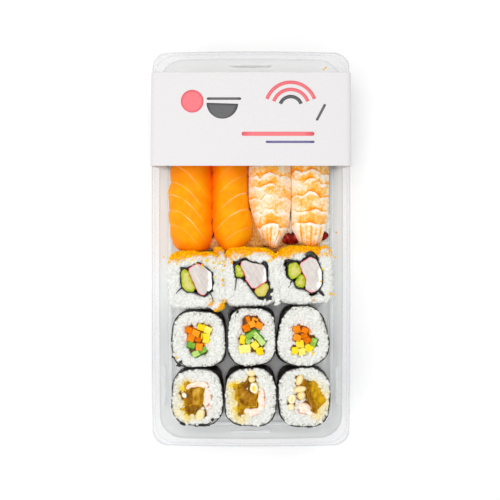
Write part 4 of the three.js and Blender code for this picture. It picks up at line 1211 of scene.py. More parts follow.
# strips of gourd: (outline, tone, top above the rice), gold below a tone of zero;
# prawn: (x, y, width) along each strip; kernels as the sticks, and how white each is;
# stain: the side where the sauce stains the rice, and how strongly
gourdRolls = [
    {"name": "gourd_roll_left", "x": -34.3, "y": -94.8, "width": 33, "depth": 36.8,
     "squareness": 2.9, "taper": 0.0, "seed": 4, "stain": (-1, 0.95),
     "prawn": [[(-7, 5.9, 2.4), (-4.6, 7.2, 3.4), (-1.5, 8.2, 4), (2, 8.3, 4), (5, 7.8, 3.8),
                (6.9, 6.2, 2.6)],
               [(5.6, 6, 2.6), (6.4, 3.4, 4), (6.6, 0.4, 4.8), (6, -2.4, 4.6), (4.6, -5.4, 2.8)],
               [(9.4, -5.2, 1.6), (7.6, -6.6, 2.6), (5.6, -6.4, 1.6)]],
     "gourd": [([(-8.4, 10.8), (-5.7, 11), (-4.2, 8.6), (2, 7), (4.8, 6.8), (4.2, 0), (3.4, -5.6),
                 (-0.8, -7.4), (-1.4, -12), (-6.5, -11.8), (-10.9, -9.4), (-10.6, -6.6), (-8, -3.4),
                 (-8.8, 0), (-7.8, 4)],
                -0.5, 0.0),
               ([(-7.4, 4.8), (-2.8, 5), (-2.6, -4.6), (-7.2, -4.8)], 0.1, 0.35),
               ([(-3, 5.7), (2.2, 5.7), (1.7, -1), (1.9, -4.8), (-3, -4.8)], 0.9, 0.7),
               ([(-8.6, -5.4), (-4, -4.4), (1.5, -4.2), (2, -6.4), (-1.6, -7.4), (-2.4, -10.6),
                 (-6.4, -10.2)],
                0.0, 0.5)],
     "riceFill": [(-0.4, 11.8, 13, 3.4, 0), (9.2, 5.2, 3.2, 6.5, 5)],
     "tails": [([(-7.7, -17.2), (-9.7, -17.2), (-11, -16.2)], 1.5),
               ([(-1.4, -17.9), (1.4, -16.9), (5, -17.5), (8, -17.6)], 2.0),
               ([(5.2, -17.4), (6.4, -16.8), (8.8, -15.8)], 1.0), ([(9.1, -14.9), (10.5, -13.5)], 2.6)],
     "kernels": {"kernel_left": [(-8.1, 1.2, 3.9, 3.1, -35, .5, 1.0),
                                 (-8.4, -5.9, 2.4, 1.4, 10, .3, 1.0)],
                 "kernel_near": [(1.7, -11.6, 5.4, 8.0, -18, .5, 0.3)]}},
    {"name": "gourd_roll_mid", "x": -0.2, "y": -94.5, "width": 33.2, "depth": 37.4,
     "squareness": 3, "taper": -0.04, "seed": 5, "stain": (-1, 0.95),
     "prawn": [[(7.4, 4.6, 2.4), (7, 1.6, 4), (6.6, -1, 4.8), (7, -4.4, 4.2), (6.4, -7.6, 4.4),
                (3.4, -9.4, 4.8), (-0.4, -9.7, 4.8), (-3.8, -9, 4)]],
     "gourd": [([(-11.4, 7), (-8.8, 8.3), (-5.1, 9.2), (-1.9, 13), (0.4, 12), (5.5, 7), (5.8, 3),
                 (4.4, 1.6), (4, -3.5), (4.2, -6.4), (-1.6, -7), (-2.6, -12.2), (-5.1, -13.9),
                 (-7.7, -12.7), (-8.4, -7.6), (-7.2, -4.9), (-9.8, -1.6), (-10.2, 3.9)], -0.5, 0.0),
               ([(-8, 7.8), (-4.8, 8.6), (-1.9, 12), (0.2, 9), (0, 4), (4, 1.6), (3.6, -3.2),
                 (3.8, -5.6), (-2, -6), (-6, -4.4), (-8.2, -1), (-8.4, 3.6)], 0.15, 0.35),
               ([(-4.8, 3.6), (-2.4, 4.8), (1.4, 1.2), (2.6, -1.6), (-1.6, -0.8), (-5.4, -2.4),
                 (-6.4, 0.6)],
                0.5, 0.6),
               ([(-7, -7.6), (-4.6, -7.4), (-3.8, -11.6), (-6.6, -11.8)], 0.1, 0.3)],
     "kernels": {"kernel": [(0, 15, 6, 4.6, -10, -.1, 0.4), (0.6, 10.8, 4.8, 3.8, 5, .5, 0.0),
                            (2, 5.3, 5.6, 7.8, 6, .8, 1.0), (-2.2, 5.3, 1.0, 2.4, 5, .6, 1.0)]}},
    {"name": "gourd_roll_right", "x": 34, "y": -94.5, "width": 33.4, "depth": 38.2,
     "squareness": 3, "taper": 0.0, "seed": 6, "stain": (1, 0.5),
     "prawn": [[(5.6, -10.8, 1.8), (3, -9.6, 3.4), (0.8, -7.6, 7.4), (-1.6, -6.6, 7.8), (-3.8, -6, 4.6)]],
     "gourd": [([(2.9, 9.8), (6.6, 10.2), (9.9, 6), (11.7, 1.8), (14.2, -2.6), (11.8, -4.9),
                 (9.9, -6.6), (8, -11.2), (5.2, -10.9), (4.3, -5.7), (1.4, -1), (1, 5.6),
                 (1.6, 8)], -1.0, 0.0),
               ([(-0.1, 12), (2.9, 9.8), (1.8, 6.3), (-2.1, 8.2)], 0.0, 0.3),
               ([(2, 8.4), (3.6, 7.6), (4.2, 2.8), (5.4, -2), (8.6, -6.4), (7.8, -10.4), (5.6, -9.8),
                 (4.6, -5.2), (1.9, -0.8), (1.4, 5)], 0.35, 0.4)],
     "kernels": {"kernel_far": [(-3.1, 10.5, 4.2, 7.2, -22, .5, 0.1), (-2.6, 4.7, 8.2, 4.2, 8, .8, 0.1),
                                (-1.7, 0.5, 5.2, 5.2, 10, .6, 0.1)],
                 "kernel_left": [(-7.9, -1.5, 5, 6.4, -5, .4, 0.8), (-8.3, -6.8, 4.4, 4.4, 8, .3, 0.6)]}},
]

# full is the outline that the loose rice fills; the roe lies along the far side, band deep, with
# stray clumps and bare spots (x, y, reach); lumps are loose rice (x, y, width, depth, turn, top)
insideOutRolls = [
    {"name": "inside_out_roll_left", "x": -36.2, "y": -20, "width": 34.6, "depth": 36,
     "squareness": 3.6, "taper": 0.03, "seed": 7,
     "full": {"x": -36.0, "y": -20.4, "width": 36.2, "depth": 37.6, "squareness": 6},
     "band": 4.2, "bare": [(-18.7, -4.4, 2.3)],
     "clumps": [(-18.4, -37.6, 1.9), (-21.8, -39.6, 1.3), (-25.8, -35.2, 0.9), (-17.8, -35.4, 1.0)],
     "lumps": [(-20.8, -2.4, 7, 5.0, 0, 19.4), (-18.6, -14, 5, 18, 0, 26.2),
               (-18.4, -27, 5, 16, 3, 25.8), (-18.6, -5.6, 4.4, 5.6, 0, 27.6),
               (-21.4, -36.6, 8.2, 6, 8, 26.8)],
     "nori": [(-9.2, 4.6), (-7.4, 7.6), (-3.6, 8.2), (2.4, 11.6), (7, 8.6), (11.4, 5), (11.8, -5.4),
              (6.2, -10.4), (-0.6, -7.8), (-4.6, -7.8), (-8.2, -4.6)],
     "surimi": [(-3.6, 6.6), (2.8, 10.2), (10.2, 4.2), (10.6, -4.8), (5.9, -9), (1.6, -5.6), (-1.4, 1.4)],
     "skin": [(2.8, 10.2), (-3.6, 6.6), (-1.4, 1.4), (1.6, -5.6), (5.9, -9)],
     "avocado": {"avocado": ([(-7.8, 4.4), (-6.4, 6.4), (-3.9, 5.8), (-1.9, 0.6), (0.6, -5.2),
                              (-0.8, -6.8), (-3.8, -6.7), (-7, -3.9)], 0.0)},
     "tails": [([(-9, 7.4), (-6.8, 7.8), (-4.2, 7.6)], 2.0),
               ([(-8, -4.8), (-9.8, -6.2), (-11.6, -8.4)], 0.9),
               ([(9.6, -7.6), (11.2, -10.2), (12, -14)], 0.6), ([(8.8, -7), (8.2, -8.8)], 2.4)]},
    {"name": "inside_out_roll_mid", "x": -1, "y": -18.7, "width": 33.8, "depth": 36,
     "squareness": 2.9, "taper": 0.0, "seed": 8,
     "full": {"x": -0.8, "y": -18.3, "width": 35.4, "depth": 38.6, "squareness": 5.6},
     "band": 5.0, "clumps": [], "bare": [(-18.7, -4.4, 2.3)],
     "lumps": [(16.8, -12, 5, 20, 0, 26.4), (16.6, -27, 5, 18, 2, 26)],
     "nori": [(-9.8, 8), (-7, 10.4), (-2.6, 12), (1.6, 10.2), (9, 9), (10.8, 6), (11.4, -2.2),
              (13.2, -5.6), (10.4, -12), (5, -12), (-1.4, -3.4), (-5.4, 0.2), (-9, 0.4)],
     "surimi": [(-5.4, 9), (-2.4, 10.8), (1.2, 8.9), (9.2, 7.6), (10, -2.2), (3.4, -6.6), (-2.8, 1.6)],
     "skin": [(-5.4, 9), (-2.8, 1.6), (3.4, -6.6), (10, -2.2)],
     "avocado": {"avocado_left": ([(-9, 7.2), (-7, 8.4), (-5, 6), (-3, 1.8), (-5, 1.2), (-8.4, 1.4)],
                                  0.0),
                 "avocado_near": ([(3.4, -7.6), (9.9, -3), (12.2, -5.4), (9.7, -11.2), (5.4, -11)], 1.0)},
     "tails": [([(-9.6, 8), (-7.4, 9.8), (-5, 11)], 1.6),
               ([(-8.4, 0.2), (-8.6, -3), (-9.2, -7.6)], 0.8)]},
    {"name": "inside_out_roll_right", "x": 35.1, "y": -17.4, "width": 35, "depth": 33.4,
     "squareness": 3.6, "taper": 0.02, "seed": 9,
     "full": {"x": 34.7, "y": -17.3, "width": 36.8, "depth": 38.6, "squareness": 6},
     "band": 5.2, "clumps": [(50.6, -2.2, 0.9)], "bare": [(47.2, -2.4, 3.2)],
     "lumps": [(47.4, -1.6, 7, 5.4, -10, 27.4), (49.5, -8, 5, 6, 0, 26.6)],
     "nori": [(-11.8, 8), (-7.6, 9.4), (-3, 9.4), (2.8, 13), (7, 10.8), (10.4, 3), (10.4, -5.4),
              (7.6, -9.4), (3.4, -11.2), (-1.2, -8.2), (-6.4, -7.2), (-8.6, -2.4), (-11.6, -1.4)],
     "surimi": [(-3.8, 7.6), (2.7, 11.9), (6.1, 10.2), (9.3, 2.5), (9.3, -4.9), (6.9, -7.6), (3.4, -10),
                (0, -7), (0.4, -2), (-1.8, 3)],
     "skin": [(2.7, 11.9), (-3.8, 7.6), (-1.8, 3), (0.4, -2), (0, -7), (3.4, -10)],
     "avocado": {"avocado_far": ([(-10.6, 6.8), (-7.7, 8.2), (-4.4, 7), (-3, 3), (-5.6, -0.8),
                                  (-9.8, -0.6)], 0.0),
                 "avocado_near": ([(-2.6, 1.6), (-0.6, -2.1), (-1, -6.6), (-5.4, -6.2), (-6, -1.9)],
                                  0.0)},
     "tails": [([(-12, 9), (-11, 10.4), (-8.4, 9.8)], 2.2),
               ([(-9.4, -3), (-10, -5.4), (-11.4, -7.4)], 0.8),
               ([(8, -9), (10, -10.6), (11.4, -12.4)], 2.4)]},
]


def raggedTop(count, seed, ragged, notch):
    # the cut edge of the seaweed: a little wavy, with a few torn notches
    place = np.column_stack([np.arange(count) * 0.5, np.full(count, seed * 3.3)])
    edge = ragged * noise(place, 3.0, seed) + 0.5 * ragged * noise(place, 1.0, seed + 2)
    torn = ease(0.55, 0.8, noise(place, 4.5, seed + 4))
    return edge - notch * torn


def looseEnds(roll, top):
    # folds and torn ends of the seaweed, each thinning towards its end
    parts = []
    for i, (corners, width) in enumerate(roll.get("tails", [])):
        path = smoothPath(inTray(roll, corners), 0.4)
        path = path + 0.15 * wavering(path, 1.4, i, i + 7)
        thin = np.linspace(1, 0.45, len(path)) * (1 + 0.3 * noise(path, 1.2, i + 3))
        tops = top + 0.25 * noise(path, 1.0, i)
        parts.append(ribbonPart(path, width * thin, rollTop - 4, tops, levels=3, edge=0.2))
    return parts


def makeNoriWrap(roll):
    # one sheet wound once round, its end lapping over its start
    values, seed = noriValues, roll["seed"]
    turns = np.linspace(0, 2 * math.pi + values["lap"], 230)
    insets = values["inset"] * (1 - turns / turns[-1]) + 0.1
    start = 0.8 + seed * 1.9
    path = np.array([rollOutline(roll, start + t, inset) for t, inset in zip(turns, insets)])
    path += [roll["x"], roll["y"]]
    top = rollTop - values["below"] + raggedTop(len(path), seed, values["ragged"], values["notch"])
    uneven = 1 + 0.9 * noise(path, 2.6, seed) + 0.8 * noise(path, 1.3, seed)
    widths = values["sheet"] * np.clip(uneven, 0.5, 2.4)
    points, faces, fields = ribbonPart(path, widths, rollBase, top, levels=9)
    points = drawIn(crumple(points, values["fold"], values["foldSize"], seed), roll)
    parts = [(points, faces, fields), *looseEnds(roll, rollTop + 0.25)]
    piece = makePiece(roll["name"] + "_seaweed", parts, finishes["nori"])
    handIn(piece, "seaweed", roll["name"] + "_nori")


def stripPath(strip, place, step):
    # a smooth path through the given spots, and the width along it
    numbers = np.array(strip, float)
    path = smoothPath(numbers[:, :2] + place, step)
    share = np.linspace(0, len(numbers) - 1, len(path))
    return path, np.interp(share, np.arange(len(numbers)), numbers[:, 2])


def fillingLoops(roll):
    # every filling's outline in tray coordinates
    place = np.array([roll["x"], roll["y"]])
    sticks = [stick for kind in ("carrot", "egg", "cucumber") for stick in roll.get(kind, [])]
    sticks += [stick for group in roll.get("kernels", {}).values() for stick in group]
    loops = []
    for x, y, width, depth, turn in [stick[:5] for stick in sticks]:
        loops.append(turned(boxCorners(width, depth), turn) + [x, y] + place)
    if "gourd" in roll:
        loops += [np.array(corners) + place for corners, _, _ in roll["gourd"]]
        for strip in roll["prawn"]:
            path, widths = stripPath(strip, place, 1.5)
            along = np.gradient(path, axis=0)
            normal = np.column_stack([-along[:, 1], along[:, 0]]) / np.linalg.norm(along, axis=1)[:, None]
            side = normal * widths[:, None] * 0.45
            loops.append(np.vstack([path + side, (path - side)[::-1]]))
    return loops


def reachShape(points, fromRoll, toRoll, extra=0.0):
    # moves the outside of one roll's rice out to another outline and leaves its middle alone
    flat, angles = aroundRoll(fromRoll, points)
    reach = np.linalg.norm(flat, axis=1)
    now = np.linalg.norm(rollOutline(fromRoll, angles), axis=1)
    wanted = np.linalg.norm(rollOutline(toRoll, angles), axis=1) + extra
    share = ease(0.55, 0.9, reach / now)
    moved = flat * (1 + (wanted / now - 1) * share)[:, None]
    shift = np.array([toRoll["x"] - fromRoll["x"], toRoll["y"] - fromRoll["y"]])
    points[:, :2] = moved + [fromRoll["x"], fromRoll["y"]] + shift * share[:, None]
    return points


def colourWrappedRice(roll, piece, loops):
    # seaweed specks by the wrap, carrot flecks, painted shade down in the gaps between fillings, and stains
    # beside the gourd
    mesh = piece.data
    place = readPoints(mesh)
    flat, angles = aroundRoll(roll, place)
    fromWrap = np.linalg.norm(rollOutline(roll, angles), axis=1) - np.linalg.norm(flat, axis=1)
    writeField(mesh, "weed", ease(4.5, 0.8, fromWrap))
    carrots = loops[:len(roll.get("carrot", []))]
    if carrots:
        writeField(mesh, "flecks", np.exp(-(towardsLoops(place, carrots)[1] / 2.0) ** 2))
    # painted shade: warm brown on the rice that lies below the top beside the fillings
    deep = ease(26.2, 25.4, place[:, 2])
    writeField(mesh, "soaked", deep * ease(2.8, 1.8, towardsLoops(place, loops)[1]))
    if "gourd" in roll:
        away = towardsLoops(place, [inTray(roll, roll["gourd"][0][0])])[1]
        patchy = 0.65 + 0.5 * noise(place, 4.0, roll["seed"])
        side, strength = roll["stain"]
        sauceward = ease(-6, 10, side * flat[:, 0]) * ease(15, 6, flat[:, 1])
        stain = np.exp(-(away / (1.2 + 3.0 * sauceward)) ** 2) * (0.4 + 0.9 * sauceward) * patchy
        writeField(mesh, "stain", strength * np.clip(stain, 0, 1))


def makeWrappedRice(roll):
    node = roll["name"] + "_rice"
    loops = fillingLoops(roll)
    plugs = []
    for loop in loops:
        middle = loop.mean(axis=0)
        wider = middle + (loop - middle) * (1 + 2.4 / np.ptp(loop, axis=0).max())
        plugs.append(slabPart(evenSteps(wider, 0.8), rollTop - 8, rollTop - riceValues["plugBelow"]))
    for x, y, width, depth, turn in roll.get("riceFill", []):
        plugs.append(stickPart(roll["x"] + x, roll["y"] + y, width, depth, turn, rollTop - 8, rollTop,
                               roll["seed"], fillingValues["egg"]))
    core = riceCore(node, plugs=plugs)
    mesh = core.data
    points = reachShape(readPoints(mesh), roll, roll, 1.2)
    points[:, 2] -= riceValues["sunk"] * ease(22, 25, points[:, 2])
    points = closeIn(points, loops)
    writePoints(mesh, pressInside(points, roll, 0.5))
    centres, normals = faceFacts(mesh)
    mask = (normals[:, 2] > 0.35) & (centres[:, 2] > 25.2)
    values = {**riceValues, "seed": roll["seed"]}
    loose = scatter(node + "_grains", core, mask, values, grains, finishes["rice"])
    writePoints(loose.data, pressInside(readPoints(loose.data), roll, 0.15))
    piece = joinPieces(core, loose)
    piece.name = roll["name"] + "_boiled_rice"
    colourWrappedRice(roll, piece, loops)
    handIn(piece, "rice", node)


def kernelPart(x, y, width, depth, turn, low, top, seed, values):
    # a plump kernel, egg-shaped from above
    circle = discOutline(0, 0, 0.5)
    lean = 1 + 0.1 * np.sin(np.arctan2(circle[:, 1], circle[:, 0]))
    outline = evenSteps(turned(circle * [width, depth] * lean[:, None], turn) + [x, y], 0.4)
    return slabPart(outline, low, top, values["edge"], values["dome"], values["relief"],
                    values["reliefSize"], seed=seed)


def makeSticks(roll, kind, node, finish, slotName):
    values = fillingValues[kind]
    sticks = roll[kind] if kind in roll else roll["kernels"][node.removeprefix(roll["name"] + "_")]
    shapePart = kernelPart if kind == "kernel" else stickPart
    parts = []
    for i, (x, y, width, depth, turn, lift, *white) in enumerate(sticks):
        seed = roll["seed"] * 10 + i
        uneven = values["uneven"] * noise(np.array([[seed * 1.3, 0.7]]), 1, 4)[0]
        part = shapePart(roll["x"] + x, roll["y"] + y, width + values["grow"], depth + values["grow"],
                         turn, rollBase, rollTop + lift + uneven, seed, values)
        part[2]["tone"] = white[0] if white else 0.45 * ((seed * 0.618) % 1)
        if kind == "cucumber":
            local = turned(part[0][:, :2] - [roll["x"] + x, roll["y"] + y], -turn)
            skinX, skinY = roll["skinSide"]
            facing = local[:, 0] * skinX * depth / width + local[:, 1] * skinY
            part[2]["skin"] = ease(depth / 2 - 1.3, depth / 2 - 0.6, facing)
        parts.append(part)
    handIn(makePiece(node + "_cut", parts, finish), slotName, node)


def makeGourd(roll):
    node = roll["name"] + "_gourd"
    parts = []
    for i, (corners, tone, lift) in enumerate(roll["gourd"]):
        seed = roll["seed"] + 7 * i
        outline = roundOutline(inTray(roll, corners), 1.1, 0.45)
        outline = outline + 0.4 * wavering(outline, 2.0, seed, seed + 1)
        part = slabPart(outline, rollBase, rollTop - 0.2 + 1.8 * lift, 0.5, 0.1, 0.45, 1.5, seed=seed,
                        stretch=20 * seed)
        part[2]["tone"] = tone
        parts.append(part)
    handIn(makePiece(node + "_strips", parts, finishes["gourd"]), "simmered_gourd", node)


def makePrawnStrip(roll):
    node = roll["name"] + "_prawn"
    parts = []
    for strip in roll["prawn"]:
        path, widths = stripPath(strip, [roll["x"], roll["y"]], 0.5)
        path = path + 0.35 * wavering(path, 1.6, 1, 2)
        fromEnd = np.minimum(np.arange(len(path)), np.arange(len(path))[::-1])
        taper = np.clip(fromEnd / 3.0, 0, 1) ** 0.5
        widths = widths * (0.5 + 0.5 * taper) * (1 + 0.14 * noise(path, 1.8, roll["seed"]))
        tops = rollTop + 0.6 + 0.6 * noise(path, 2.0, roll["seed"] + 3)
        parts.append(ribbonPart(path, widths, rollBase, tops, edge=0.8))
    handIn(makePiece(node + "_strip", parts, finishes["prawnStrip"]), "cooked_prawn", node)


def makeWrappedRoll(roll):
    makeNoriWrap(roll)
    makeWrappedRice(roll)
    name = roll["name"]
    if "gourd" in roll:
        makeGourd(roll)
        makePrawnStrip(roll)
        for label in roll["kernels"]:
            makeSticks(roll, "kernel", f"{name}_{label}", finishes["kernel"], "kernel")
    else:
        for kind in ("carrot", "egg", "cucumber"):
            makeSticks(roll, kind, f"{name}_{kind}", finishes[kind], kind)


def makeInnerNori(roll):
    node = roll["name"] + "_nori"
    seed = roll["seed"]
    loop = roundOutline(inTray(roll, roll["nori"]), 1.2, 0.4)
    around = noise(loop, 2.6, seed)
    loop = loop + 0.3 * wavering(loop, 2.2, 5, 6)
    loop = loop + 0.34 * wavering(loop, 1.3, 3, 4)
    widths = 0.55 + 1.3 * np.clip(around - 0.1, 0, 1) ** 1.3 + 0.3 * noise(loop, 0.9, seed)
    tops = rollTop + 0.45 + raggedTop(len(loop), seed, 0.3, 0.5)
    sheet = ribbonPart(loop, widths, rollBase, tops, closed=True, levels=5)
    piece = makePiece(node + "_sheet", [sheet, *looseEnds(roll, rollTop + 0.55)], finishes["nori"])
    handIn(piece, "seaweed", node)


def roeEdge(roll, flat):
    # how far a spot lies inside the roe: the band along the far side and stray clumps, less the
    # bare spots
    edge = roll["depth"] / 2 - roll["band"] + 2.2 * noise(flat, 6.0, roll["seed"])
    beyond = flat[:, 1] - edge
    x, y = (flat + [roll["x"], roll["y"]]).T
    for clumpX, clumpY, reach in roll["clumps"]:
        beyond = np.maximum(beyond, reach - np.hypot(x - clumpX, y - clumpY))
    for bareX, bareY, reach in roll["bare"]:
        beyond = np.minimum(beyond, np.hypot(x - bareX, y - bareY) - reach)
    return beyond + 0.9 * noise(flat, 1.8, 5)


def lumpPart(x, y, width, depth, turn, top, seed, low=None):
    # a lump of rice pressed loose from the side of a roll
    corners = discOutline(0, 0, 0.5)[::4] * [width, depth]
    outline = evenSteps(turned(corners, turn) + [x, y], 0.7)
    return slabPart(outline, top - 9 if low is None else low, top, 1.3, 0.5, 0.5, 2.6, seed=seed)


def makeInsideOutRice(roll):
    node = roll["name"] + "_rice"
    core = riceCore(node, sink=(0.5, 0.5, 0.2))
    full = {**roll, **roll["full"]}
    points = reachShape(readPoints(core.data), roll, full)
    writePoints(core.data, closeIn(points, [inTray(roll, roll["nori"])], 1.6))
    roll = full
    lumps = [lumpPart(*numbers, roll["seed"] + i) for i, numbers in enumerate(roll["lumps"])]
    joinPieces(core, makePiece(node + "_lumps", lumps, finishes["rice"]))
    # the rice swells a little under the roe
    mesh = core.data
    points = readPoints(mesh)
    local = points - [roll["x"], roll["y"], 0]
    lowest = riceValues["lowest"]
    inRoe = ease(-0.5, 0.6, roeEdge(roll, local[:, :2])) * (points[:, 2] > lowest)
    clump = inRoe * (0.5 + 0.9 * noise(points, 2.8, roll["seed"] + 4))
    points[:, 1] += clump * ease(roll["depth"] / 2 - 3, roll["depth"] / 2, local[:, 1])
    points[:, 2] += clump * ease(22, 25, points[:, 2])
    writePoints(mesh, points)
    writeField(mesh, "underRoe", inRoe)
    centres, normals = faceFacts(mesh)
    local = centres - [roll["x"], roll["y"], 0]
    reach = np.linalg.norm(local[:, :2], axis=1)
    outwards = (normals[:, :2] * local[:, :2]).sum(1) / np.maximum(reach, 1e-6)
    onTop = (normals[:, 2] > 0.3) & (centres[:, 2] > 19)
    onSide = (outwards > 0.3) & (centres[:, 2] > lowest) & (reach > 14)
    values = {**riceValues, "seed": roll["seed"], "tilt": 15, "lift": (-0.8, -0.3)}
    beyond = roeEdge(roll, local[:, :2])
    bare = (onTop | onSide) & (beyond < 0)
    loose = scatter(node + "_grains", core, bare, values, grains, finishes["rice"])
    crumbs = (beyond > -3.5) & (noise(local[:, :2], 1.4, 5) > 0.5)
    roe = scatter(roll["name"] + "_roe", core, (onTop | onSide) & ((beyond > 0) | crumbs),
                  {**roeValues, "seed": roll["seed"]}, roeBeads, finishes["roe"])
    piece = joinPieces(core, loose)
    piece.name = roll["name"] + "_boiled_rice"
    fromFar = readPoints(piece.data)[:, 1] - roll["y"] - roll["depth"] / 2
    writeField(piece.data, "blush", 0.3 * ease(-8, -1, fromFar))
    handIn(piece, "rice", node)
    handIn(roe, "rice", node)


def grownTo(outline, nori, others):
    # a filling pressed out against the seaweed and half way to its neighbours
    outward, gap = towardsLoops(outline, [nori])
    moved = outline + outward / np.maximum(gap, 1e-6)[:, None] * np.clip(gap - 0.35, 0, 1.3)[:, None]
    if others:
        across, space = towardsLoops(outline, others)
        halfWay = outline + across / np.maximum(space, 1e-6)[:, None] * np.clip(space / 2, 0, 0.8)[:, None]
        moved = np.where((space < gap)[:, None], halfWay, moved)
    return moved


def makeInsideOutRoll(roll):
    makeInsideOutRice(roll)
    makeInnerNori(roll)
    nori = inTray(roll, roll["nori"])
    cuts = {"surimi": roundOutline(inTray(roll, roll["surimi"]), 0.9, 0.45)}
    for label, (corners, _) in roll["avocado"].items():
        cuts[label] = roundOutline(inTray(roll, corners), 1.4, 0.45)
    grown = {label: grownTo(cut, nori, [other for key, other in cuts.items() if key != label])
             for label, cut in cuts.items()}
    node = roll["name"] + "_surimi"
    outline = grown["surimi"]
    part = slabPart(outline, rollBase, rollTop + 0.7, 0.35, 0.3, 0.25, 1.2, seed=roll["seed"], stretch=35)
    fromSkin = towardsLoops(part[0], [inTray(roll, roll["skin"])], closed=False)[1]
    onSkin = ease(2.1, 1.5, fromSkin)
    part[2]["skin"] = np.exp(-(part[2]["rim"] / 0.75) ** 2) * onSkin
    # painted sheen: the flesh is whitened towards its right side
    sheenSide = part[0][:, 0] - outline[:, 0].max() + 2.4 + noise(part[0][:, :2], 2.0, 3)
    part[2]["wet"] = ease(-0.6, 1.0, sheenSide)
    handIn(makePiece(node + "_stick", [part], finishes["surimi"]), "surimi", node)
    for label, (_, ripe) in roll["avocado"].items():
        node = f"{roll['name']}_{label}"
        part = slabPart(grown[label], rollBase, rollTop + 0.4, 0.7, 0.2, 0.2, 1.6, seed=roll["seed"])
        part[2]["ripe"] = ripe
        handIn(makePiece(node + "_slice", [part], finishes["avocado"]), "avocado", node)


for roll in vegetableRolls + gourdRolls:
    makeWrappedRoll(roll)
print("thick rolls made")
for roll in insideOutRolls:
    makeInsideOutRoll(roll)
print("inside-out rolls made")

nigiriFar = 70
# edges are (distance along the tray, x) stops of each side, seen from above; spill is how far
# the rice bulges out left and right of the topping, foot how far at its near end
# lines of fat start at fatStarts along fatEdge, run to the side that fatFrom names, and bend
salmonPieces = [
    {"name": "salmon_left", "near": -1.2, "seed": 11, "spill": (0.0, 1.5),
     "lumps": [(-23.8, 3.4, 6, 8, 0, 14)], "fatFrom": -1, "fatEdge": -52.5,
     "leftEdge": [(-1.2, -50), (5, -51.6), (14, -52.5), (21, -53.2), (30, -52.8), (37, -53.4),
                  (45, -52), (70, -51.6)],
     "rightEdge": [(-1.2, -25.3), (4, -24.7), (9, -24.8), (16, -25.4), (30, -25.1), (70, -25.2)],
     "fatStarts": [-6, 6, 15.6, 25.2, 35.1, 43.1, 54, 64, 74], "fatBend": 0.0453,
     "fatShare": [0, .05, .3, 1, 1, .95, .7, .3, 0]},
    {"name": "salmon_right", "near": -1.4, "foot": 1.5, "seed": 12, "spill": (0.0, 1.5),
     "lumps": [(-1.6, 2.6, 7, 7, 0, 14)], "fatFrom": 1, "fatEdge": -0.3,
     "leftEdge": [(-1.4, -21.4), (3.5, -22.2), (8, -23.8), (16, -24.9), (30, -25.1), (70, -25)],
     "rightEdge": [(-1.4, -3), (5, -0.6), (8.8, 0.6), (14.6, 1.0), (24.6, -0.2), (34, -1.5), (53, -1.9),
                   (70, -1.9)],
     "fatStarts": [-6, 4, 13.3, 26, 36.2, 47.5, 57, 67, 77], "fatBend": 0.036,
     "fatShare": [0, .1, .5, 1, 1, .8, .4, .2, 0]},
]
# rings are (top of the arch, its height, the rise of the lobes beside it); network is how clearly a
# web of pigment shows; the tail's fan is (x, y, length, blades), spread degrees to either side
prawnPieces = [
    {"name": "prawn_left", "near": 0.8, "seed": 13, "spread": 46,
     "lumps": [(3.4, 4.4, 9, 10, 10, 16), (23.6, 14, 7, 16, 0, 15), (15, 0, 14, 4, 0, 12),
               (23.4, 1.2, 7, 4.6, 0, 13)],
     "middle": 12.6, "network": 0.0, "spill": (5.0, 3.0), "foot": 4.5, "fan": (25.7, 9.6, 7.2, 3),
     "leftEdge": [(0.8, 11.6), (2.7, 10.2), (5.7, 7.8), (10.2, 5.6), (15.3, 3.5), (24.6, 0.5),
                  (32.8, -1.1), (53, -1.2), (70, -1)],
     "rightEdge": [(0.8, 18.2), (2.7, 18.9), (5.7, 20.2), (10.2, 22.2), (15.3, 24), (26, 25.3),
                   (34, 25.6), (70, 25.5)],
     "rings": [(-5, 1.6, 0.4), (15.6, 1.9, 0.9), (25.2, 3.0, 1.5), (34.9, 3.2, 1.6), (41.8, 3.0, 0.8),
               (49.2, 3.4, 1.2), (56, 3, 1), (63.5, 3, 1), (75, 3, 1)]},
    {"name": "prawn_right", "near": 1.4, "seed": 14, "spread": 30,
     "lumps": [(46.4, 3.8, 6.4, 5, 0, 13), (29, 4, 7, 7, 0, 12)],
     "middle": 38.4, "network": 0.4, "spill": (2.6, 3.4), "foot": 3.0, "fan": (45.2, 11.0, 6.2, 2),
     "leftEdge": [(1.4, 33), (3.1, 31.2), (5.7, 29.2), (10.2, 27.8), (15.3, 26.7), (30, 26.4),
                  (70, 26.4)],
     "rightEdge": [(1.4, 44.4), (3.1, 45.4), (5.7, 46.6), (10.2, 47.4), (16.3, 48.2), (20.4, 49),
                   (29, 50), (70, 50.1)],
     "rings": [(-5, 1.2, 0.4), (16.6, 1.2, 0.9), (25, 0.9, 0.5), (36, 3.6, 1.6), (45.6, 4.2, 0.6),
               (51.5, 2.6, 1.6), (58, 3, 1), (66, 3, 1), (77, 3, 1)]},
]
salmonValues = {"endPower": 6.5, "crest": 27.2, "endDrop": 7.5, "drop": 11, "thick": 5.6, "wave": 0.3,
                "stations": 170, "across": 60, "edgeNotch": 0.6, "flank": 2.6, "joint": -25.2}
prawnValues = {"endPower": 11.0, "crest": 25.8, "endDrop": 8, "drop": 7.5, "thick": 5, "wave": 0.0,
               "stations": 240, "across": 90, "ringStep": 0.6, "pillow": 0.45, "lobeAt": 6.5,
               "reach": 12.4, "valley": 0.6, "flank": 2.6,
               # ridges of the near ring: place across, width, strength
               "ridges": [(-0.66, 0.06, 0.7), (-0.3, 0.05, 0.5), (0.02, 0.07, 1), (0.3, 0.05, 0.6),
                          (0.62, 0.06, 0.8)]}


